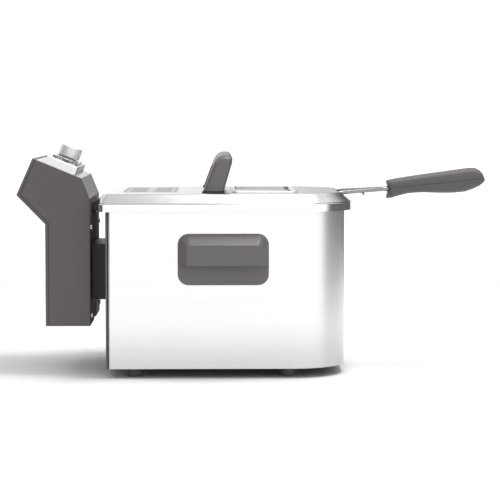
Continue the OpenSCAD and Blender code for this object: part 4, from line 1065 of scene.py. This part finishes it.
# %% Neck
neck_low, neck_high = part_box("element_neck")
NECK_TOP = neck_high.z
RIM_TOP = rim_high.z
inner = pot_low.x + SHEET + 0.5 * MM
neck_shape = [Vector(at) for at in (
    (HEAD_FRONT - 14 * MM, NECK_TOP - 16 * MM), (HEAD_FRONT - 14 * MM, NECK_TOP - 8 * MM),
    (HEAD_FRONT + 1 * MM, NECK_TOP - 6 * MM), (rim_low.x - 1.5 * MM, NECK_TOP),
    (inner + 2.5 * MM, NECK_TOP), (inner + 4 * MM, NECK_TOP - 1.5 * MM),
    (inner + 4 * MM, RIM_TOP - 6 * MM), (inner + 12 * MM, RIM_TOP - 6 * MM),
    (inner + 12 * MM, RIM_TOP - 24 * MM), (inner, RIM_TOP - 24 * MM), (inner, RIM_TOP + 0.1 * MM),
    (rim_low.x - 1 * MM, RIM_TOP + 0.1 * MM), (rim_low.x - 1 * MM, NECK_TOP - 16 * MM))]
neck = prism("element_neck_cover", neck_shape, neck_low.y, neck_high.y)
for side in (-1, 1):
    edge = sorted((side * (neck_high.y - 10.3 * MM), side * (neck_high.y + 1 * MM)))
    cut(neck, block("tool", (HEAD_FRONT - 18 * MM, edge[0], NECK_TOP - 0.03),
                    (HEAD_FRONT + 0.5 * MM, edge[1], NECK_TOP + PAST)))
soften(neck, 0.7 * MM, 3)
place(neck, black_plastic, "head", "black_plastic", "element_neck")

# %% [markdown]
# The heating element is one long bent tube. Its route is written as straight runs and
# half circles, all at one height, with the two ends rising to the neck.

# %% Heating element
tube_low, tube_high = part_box("heating_element")
TUBE = 4 * MM
PITCH, BEND = 24 * MM, 12 * MM
level = tube_low.z + TUBE
tube_x = tube_low.x + TUBE
tube_front = tube_high.x - TUBE


def arc(x, y, radius, start, sweep, steps=12):
    """Points on a level arc."""
    return [Vector((x + radius * math.cos(math.radians(start + sweep * step / steps)),
                    y + radius * math.sin(math.radians(start + sweep * step / steps)), level))
            for step in range(steps + 1)]


half_route = [Vector((tube_x, PITCH / 2, tube_high.z))]
for step in range(9):
    turn = math.radians(90 * step / 8)
    along, down = BEND * (1 - math.cos(turn)), BEND * (1 - math.sin(turn))
    half_route.append(Vector((tube_x + along, PITCH / 2, level + down)))
half_route += arc(tube_front - 30 * MM, PITCH, PITCH / 2, -90, 180)
half_route += arc(tube_x + BEND + 6 * MM, 2 * PITCH, PITCH / 2, -90, -180)
half_route += arc(tube_front - BEND, 2.5 * PITCH - BEND, BEND, 90, -90)
route = half_route + [Vector((p.x, -p.y, p.z)) for p in reversed(half_route)]
element = wires("heating_element_tube", [route], TUBE, 6)
place(element, element_skin, "head", "element_alloy", "heating_element")

# %% [markdown]
# The basket is woven from thin wire: level loops and U-shaped wires cross on every wall
# and on the floor. Each U reads its width from the plan, so the wires follow the rounded
# corners.

# %% Basket mesh
mesh_low, mesh_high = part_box("basket_mesh")
WIRE, MESH = 0.6 * MM, 6.5 * MM
BASKET_FRONT, BASKET_REAR = 40 * MM, 18 * MM
basket_wide = mesh_high.y - mesh_low.y


def reach(at, low, high, radius_low, radius_high, across):
    """Half the basket's width at one place along it, in from its corner rounds."""
    corner, depth = 0, 0
    if at < low + radius_low:
        corner, depth = radius_low, low + radius_low - at
    if at > high - radius_high:
        corner, depth = radius_high, at - (high - radius_high)
    return across - corner + math.sqrt(max(corner ** 2 - depth ** 2, 0))


def u_wire(a, b, fixed, along_x, top, low_z, bend=4 * MM):
    """A wire down one wall, over the floor and up the other wall."""
    corners = [(a, top), (a, low_z), (b, low_z), (b, top)]
    return rounded_path([(p, fixed, z) if along_x else (fixed, p, z) for p, z in corners], bend, 4)


paths = []
count = int((mesh_high.x - mesh_low.x) / MESH)
for index in range(1, count):
    x = mesh_low.x + index * (mesh_high.x - mesh_low.x) / count
    half = reach(x, mesh_low.x, mesh_high.x, BASKET_REAR, BASKET_FRONT, basket_wide / 2) - WIRE
    paths.append(u_wire(-half, half, x, False, mesh_high.z, mesh_low.z + WIRE))
count = int(basket_wide / MESH)
for index in range(1, count):
    y = -basket_wide / 2 + index * basket_wide / count
    behind = reach(abs(y), -1, basket_wide / 2, 0, BASKET_REAR, BASKET_REAR)
    before = reach(abs(y), -1, basket_wide / 2, 0, BASKET_FRONT, BASKET_FRONT)
    start = mesh_low.x + BASKET_REAR - behind + WIRE
    end = mesh_high.x - BASKET_FRONT + before - WIRE
    paths.append(u_wire(start, end, y, True, mesh_high.z, mesh_low.z + 2.6 * WIRE))
weave = wires("basket_weave_upright", paths, WIRE, 1)
count = int((mesh_high.z - mesh_low.z - 4 * MM) / MESH)
loops = []
for index in range(count + 1):
    z = mesh_low.z + 4 * MM + index * (mesh_high.z - mesh_low.z - 5 * MM) / count
    inset = 2.4 * WIRE
    loops.append(plan_outline(mesh_low.x + inset, mesh_high.x - inset, basket_wide - 2 * inset,
                              BASKET_FRONT - inset, BASKET_REAR - inset, z, 8))
bands = wires("basket_weave_level", loops, WIRE, 1, closed=True)
weave = join("basket_weave", [weave, bands])
place(weave, steel_wire, "basket", "polished_steel", "basket_mesh")

# %% [markdown]
# Thicker wires hold the weave: a ring round its rim, two hoops under and beside it, and
# the hook behind it that hangs the basket on the pot's rear to drain.

# %% Basket rim, hoops and hook
ring_low, ring_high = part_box("basket_rim")
ROD = 2.5 * MM
ring_path = plan_outline(ring_low.x + ROD, ring_high.x - ROD, ring_high.y - ring_low.y - 2 * ROD,
                         BASKET_FRONT - 1 * MM, BASKET_REAR - 1 * MM,
                         (ring_low.z + ring_high.z) / 2, 16)
ring = wires("basket_rim_ring", [ring_path], ROD, 5, closed=True)
place(ring, steel_wire, "basket", "polished_steel", "basket_rim")

hoop_low, hoop_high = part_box("basket_hoops")
HOOP = 1.5 * MM
hoops = []
for x in (hoop_low.x + 1.04 * HOOP, hoop_high.x - 1.04 * HOOP):
    hoops.append(u_wire(hoop_low.y + 1.04 * HOOP, hoop_high.y - 1.04 * HOOP, x, False, hoop_high.z,
                        hoop_low.z + 1.04 * HOOP, 5 * MM))
hoops = wires("basket_hoop_wires", hoops, HOOP, 4)
place(hoops, steel_wire, "basket", "polished_steel", "basket_hoops")

hook_low, hook_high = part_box("basket_hook")
HOOK = 2 * MM
hook_top, hook_rear = hook_high.z - 1.04 * HOOK, hook_low.x + 1.04 * HOOK
hook_front = hook_high.x - 1.04 * HOOK
hook_half = hook_high.y - 1.04 * HOOK
hook_side = [(hook_front, hook_low.z), (hook_front, hook_top), (hook_rear, hook_top)]
hook_corners = [(x, -hook_half, z) for x, z in hook_side]
hook_corners += [(x, hook_half, z) for x, z in reversed(hook_side)]
hook = wires("basket_hook_wire", [rounded_path(hook_corners, 5 * MM)], HOOK, 4)
place(hook, steel_wire, "basket", "polished_steel", "basket_hook")

# %% [markdown]
# The two handle rods rise from the basket's front, bend over the rim and draw together
# into the grip, with a short cross wire where they meet.

# %% Handle rods and brace
grip_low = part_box("grip_upper")[0]
GRIP_START = grip_low.x + 1 * MM
GRIP_LONG = 122 * MM
RIM_CROWN = rim_high.z
rod_bend_x = house_high.x - 6 * MM
rod_level = RIM_CROWN + 9 * MM
RISE = math.tan(math.radians(3))
grip_level = rod_level + (GRIP_START - rod_bend_x) * RISE + 0.6 * MM
rods_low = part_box("handle_rods")[0]
rod_up_x = rods_low.x + ROD
rods = []
for side in (-1, 1):
    rods.append(rounded_path([
        (rod_up_x, side * 36 * MM, rods_low.z), (rod_up_x, side * 36 * MM, ring_high.z + 1 * MM),
        (rod_bend_x, side * 30 * MM, rod_level), (GRIP_START, side * 7 * MM, grip_level),
        (GRIP_START + 34 * MM, side * 7 * MM, grip_level + 34 * MM * RISE)], 9 * MM, 8))
rods = wires("handle_rod_pair", rods, ROD, 6)
place(rods, steel_wire, "basket", "polished_steel", "handle_rods")

brace_low, brace_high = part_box("rod_brace")
brace_mid = (brace_low + brace_high) / 2
brace = wires("rod_cross_wire", [[Vector((brace_mid.x, brace_low.y, brace_mid.z)),
                                  Vector((brace_mid.x, brace_high.y, brace_mid.z))]], 1.5 * MM, 4)
soften(brace, 0.4 * MM, 2)
place(brace, steel_wire, "basket", "polished_steel", "rod_brace")

# %% [markdown]
# The grip is lofted along its length. Two tables give its upper and lower outline, and
# each section is a soft rectangle between them. A sloping plane then parts it into its
# two halves, and a fine gap between them draws the seam.

# %% Grip
GRIP_TOP = [(0, 10.5), (12, 13), (38, 17), (70, 21.4), (90, 24.2), (103, 25.9), (110, 26),
            (116, 23), (120, 18.3), (122, 10.5)]
GRIP_FOOT = [(0, -12), (6, -11.4), (16, -8.4), (26, -5.9), (36, -4.9), (46, -4.6), (60, -5.1),
             (74, -5.4), (86, -5.0), (98, -3.6), (108, -0.3), (116, 3.6), (120, 7), (122, 10)]
GRIP_HALF_WIDE, GRIP_END = 14.0, 10.0
HALF_SEAM = 0.18 * MM


def grip_section(x, notch=False):
    """A soft rectangle across the grip, x millimetres from its rod end."""
    top, foot = between(GRIP_TOP, x), between(GRIP_FOOT, x)
    near_end = max(GRIP_END - (x + 3), GRIP_END - (GRIP_LONG / MM + 3 - x), 0)
    half = GRIP_HALF_WIDE - GRIP_END + math.sqrt(max(GRIP_END ** 2 - near_end ** 2, 0))
    middle_z, tall = (top + foot) / 2, (top - foot) / 2
    ring = []
    for step in range(40):
        turn = 2 * math.pi * step / 40
        c, s = math.cos(turn), math.sin(turn)
        power = 2 / 3.0
        y = half * math.copysign(abs(c) ** power, c)
        z = middle_z + tall * math.copysign(abs(s) ** power, s)
        shift = 0
        if notch:
            shift = 3 - 3 * min(abs(z) / (12 if z < 0 else 9), 1)
        ring.append(Vector((GRIP_START + (x + shift) * MM, y * MM, grip_level + z * MM)))
    return ring


stations = [0, 4, 7, 11, 16, 21, 26, 32, 39, 46, 54, 62, 70, 78, 85, 92, 98, 103, 107, 110.5,
            113.5, 116, 118, 119.6, 120.8, 121.6]
grip = loft("grip_form", [grip_section(x, x == 0) for x in stations])
seam_rise = math.atan2(12.5, 122)
seam_normal = Vector((-math.sin(seam_rise), 0, math.cos(seam_rise)))
seam_at = Vector((GRIP_START - 10 * MM, 0, grip_level - 0.4 * MM))
for name, sign, node in (("grip_top_half", 1, "grip_upper"), ("grip_foot_half", -1, "grip_lower")):
    half = grip.copy()
    half.data = grip.data.copy()
    half.name = name
    bpy.context.scene.collection.objects.link(half)
    pick(half, "FACE", lambda f: True)
    bpy.ops.mesh.bisect(plane_co=seam_at + seam_normal * sign * HALF_SEAM, plane_no=seam_normal,
                        use_fill=True, clear_inner=sign > 0, clear_outer=sign < 0)
    done()
    for side in (-1, 1):
        start = Vector((GRIP_START - 3 * MM, side * 7 * MM, grip_level - 3 * MM * RISE))
        end = Vector((GRIP_START + 34.2 * MM, side * 7 * MM, grip_level + 34.2 * MM * RISE))
        cut(half, wires("tool", [[start, end]], ROD + 0.05 * MM, 6))
    soften(half, 0.45 * MM, 2, 45, 35)
    place(half, soft_grip, "basket", "soft_grip", node)
bpy.data.objects.remove(grip)

# %% [markdown]
# The rest of the pieces keep their own shape, because they are screws, seals, brackets or
# works inside the head. They get real finishes in place of their plain colours.

# %% Dress the carried-over pieces
dressed = {
    black_plastic: ["base_plate", "rail_bracket", "lid_handle_base", "guide_channel", "seat_switch",
                    "power_inlet", "thermal_cutout"],
    grey_front: ["head_front"],
    vent_plastic: ["vent_frame"],
    steel_rim: ["lid_liner"],
    steel_screw: ["base_screws", "handle_bracket_left", "handle_bracket_right",
                  "side_handle_screws", "rail_screws", "lid_handle_screws", "grip_screws",
                  "head_screws", "neck_screws", "dial_shaft", "element_tray", "temperature_probe"],
    rubber: ["lid_seal"],
    filter_felt: ["filter_pad"],
    board_green: ["power_board"],
    black_glass: ["display_board"],
    cast_zinc: ["encoder"],
    red_plastic: ["reset_button"],
    white_plastic: ["seat_plunger"],
    brass: ["inlet_pins"],
}
for finish, names in dressed.items():
    for name in names:
        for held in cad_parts[name].material_slots:
            held.material = finish
print("dressed", sum(len(names) for names in dressed.values()))

# %% [markdown]
# The camera stands far off and a little above the table, looking square at the side.

# %% Camera
EYE = Vector((-49.4 * MM, -2320 * MM, 315 * MM))
DOWN, ASIDE = math.radians(4.204), math.radians(-1.094)
SENSOR = 36
LENS = 3.728 * SENSOR
camera_data = bpy.data.cameras.new("camera")
camera = bpy.data.objects.new("camera", camera_data)
bpy.context.scene.collection.objects.link(camera)
camera.location = EYE
camera.rotation_euler = (math.radians(90) - DOWN, 0, ASIDE)
camera_data.sensor_width = SENSOR
camera_data.lens = LENS
camera_data.clip_start = 0.05
bpy.context.scene.camera = camera

# %% [markdown]
# The studio is a pale floor under an even bright sky. Two dark cards stand at the horizon,
# beyond the front and the rear, and give the steel corner and the plastic edges their
# dark lines. A wide soft lamp hangs above, and a smaller one stands over the front.

# %% Studio
bpy.context.scene.view_settings.view_transform = "Standard"
deselect()
bpy.ops.mesh.primitive_plane_add(size=2.4, location=(0, 0, 0))
floor = bpy.context.object
floor.name = "floor"
floor_finish = Finish("studio_floor")
clouds = floor_finish.noise(3.0)
floor_finish.drive("Base Color", floor_finish.tint(clouds, (0.84, 0.84, 0.84), (0.87, 0.87, 0.87)))
floor_finish.shader.inputs["Roughness"].default_value = 0.9
floor.data.materials.append(floor_finish.material)

world = bpy.data.worlds.new("studio")
bpy.context.scene.world = world
world.use_nodes = True
nodes, links = world.node_tree.nodes, world.node_tree.links


def studio_node(kind, settings, sockets):
    """Adds a node to the world; a socket's value is a number, a vector or another output."""
    node = nodes.new("ShaderNode" + kind)
    for name, value in settings.items():
        setattr(node, name, value)
    for name, value in sockets.items():
        if isinstance(value, bpy.types.NodeSocket):
            links.new(value, node.inputs[name])
        else:
            node.inputs[name].default_value = value
    return node


def ramp(value, start, end):
    """Rises softly from 0 at one value to 1 at another."""
    return studio_node("MapRange", {"interpolation_type": "SMOOTHSTEP"},
                       {"Value": value, "From Min": start, "From Max": end}).outputs[0]


def mixed(factor, first, second):
    """Mixes two colours; each is a grey level or another output."""
    first, second = ((c, c, c, 1) if isinstance(c, (int, float)) else c for c in (first, second))
    return studio_node("Mix", {"data_type": "RGBA"}, {0: factor, 6: first, 7: second}).outputs[2]


def card(toward, start, end):
    """A dark card at the horizon: how far a direction lies inside it."""
    along = studio_node("VectorMath", {"operation": "DOT_PRODUCT"}, {0: direction, 1: toward})
    inside = ramp(along.outputs["Value"], start, end)
    return studio_node("Math", {"operation": "MULTIPLY"}, {0: inside, 1: near_horizon}).outputs[0]


CARD_GREY = 0.12
direction = nodes.new("ShaderNodeTexCoord").outputs["Generated"]
height = studio_node("SeparateXYZ", {}, {0: direction}).outputs["Z"]
upward = studio_node("Math", {"operation": "ABSOLUTE"}, {0: height}).outputs[0]
near_horizon = ramp(upward, 0.75, 0.35)
low_sky = mixed(ramp(height, -0.5, 0.0), 0.8, 1.12)
high_sky = mixed(ramp(height, 0.7, 0.95), 0.88, 0.3)
sky = mixed(ramp(height, 0.05, 0.5), low_sky, high_sky)
for toward, start, end in (((0.82, 0.57, 0), 0.5, 0.72), ((-0.93, -0.36, 0), 0.6, 0.85)):
    sky = mixed(card(toward, start, end), sky, CARD_GREY)
seen = nodes.new("ShaderNodeLightPath").outputs["Is Camera Ray"]
links.new(mixed(seen, sky, 1), nodes["Background"].inputs["Color"])
nodes["Background"].inputs["Strength"].default_value = 1.21


def soft_light(name, at, toward, size, power):
    light = bpy.data.lights.new(name, "AREA")
    light.shape = "RECTANGLE"
    light.size, light.size_y = size
    light.energy = power
    lamp = bpy.data.objects.new(name, light)
    bpy.context.scene.collection.objects.link(lamp)
    lamp.location = at
    lamp.rotation_euler = (Vector(toward) - Vector(at)).to_track_quat("-Z", "Y").to_euler()


soft_light("top", (-0.1, 0.3, 1.9), (0, 0, 0.1), (3.0, 3.0), 14)
soft_light("key", (0.4, -0.1, 2.0), (0, 0, 0.15), (0.7, 0.7), 22)
print("camera and studio ready")
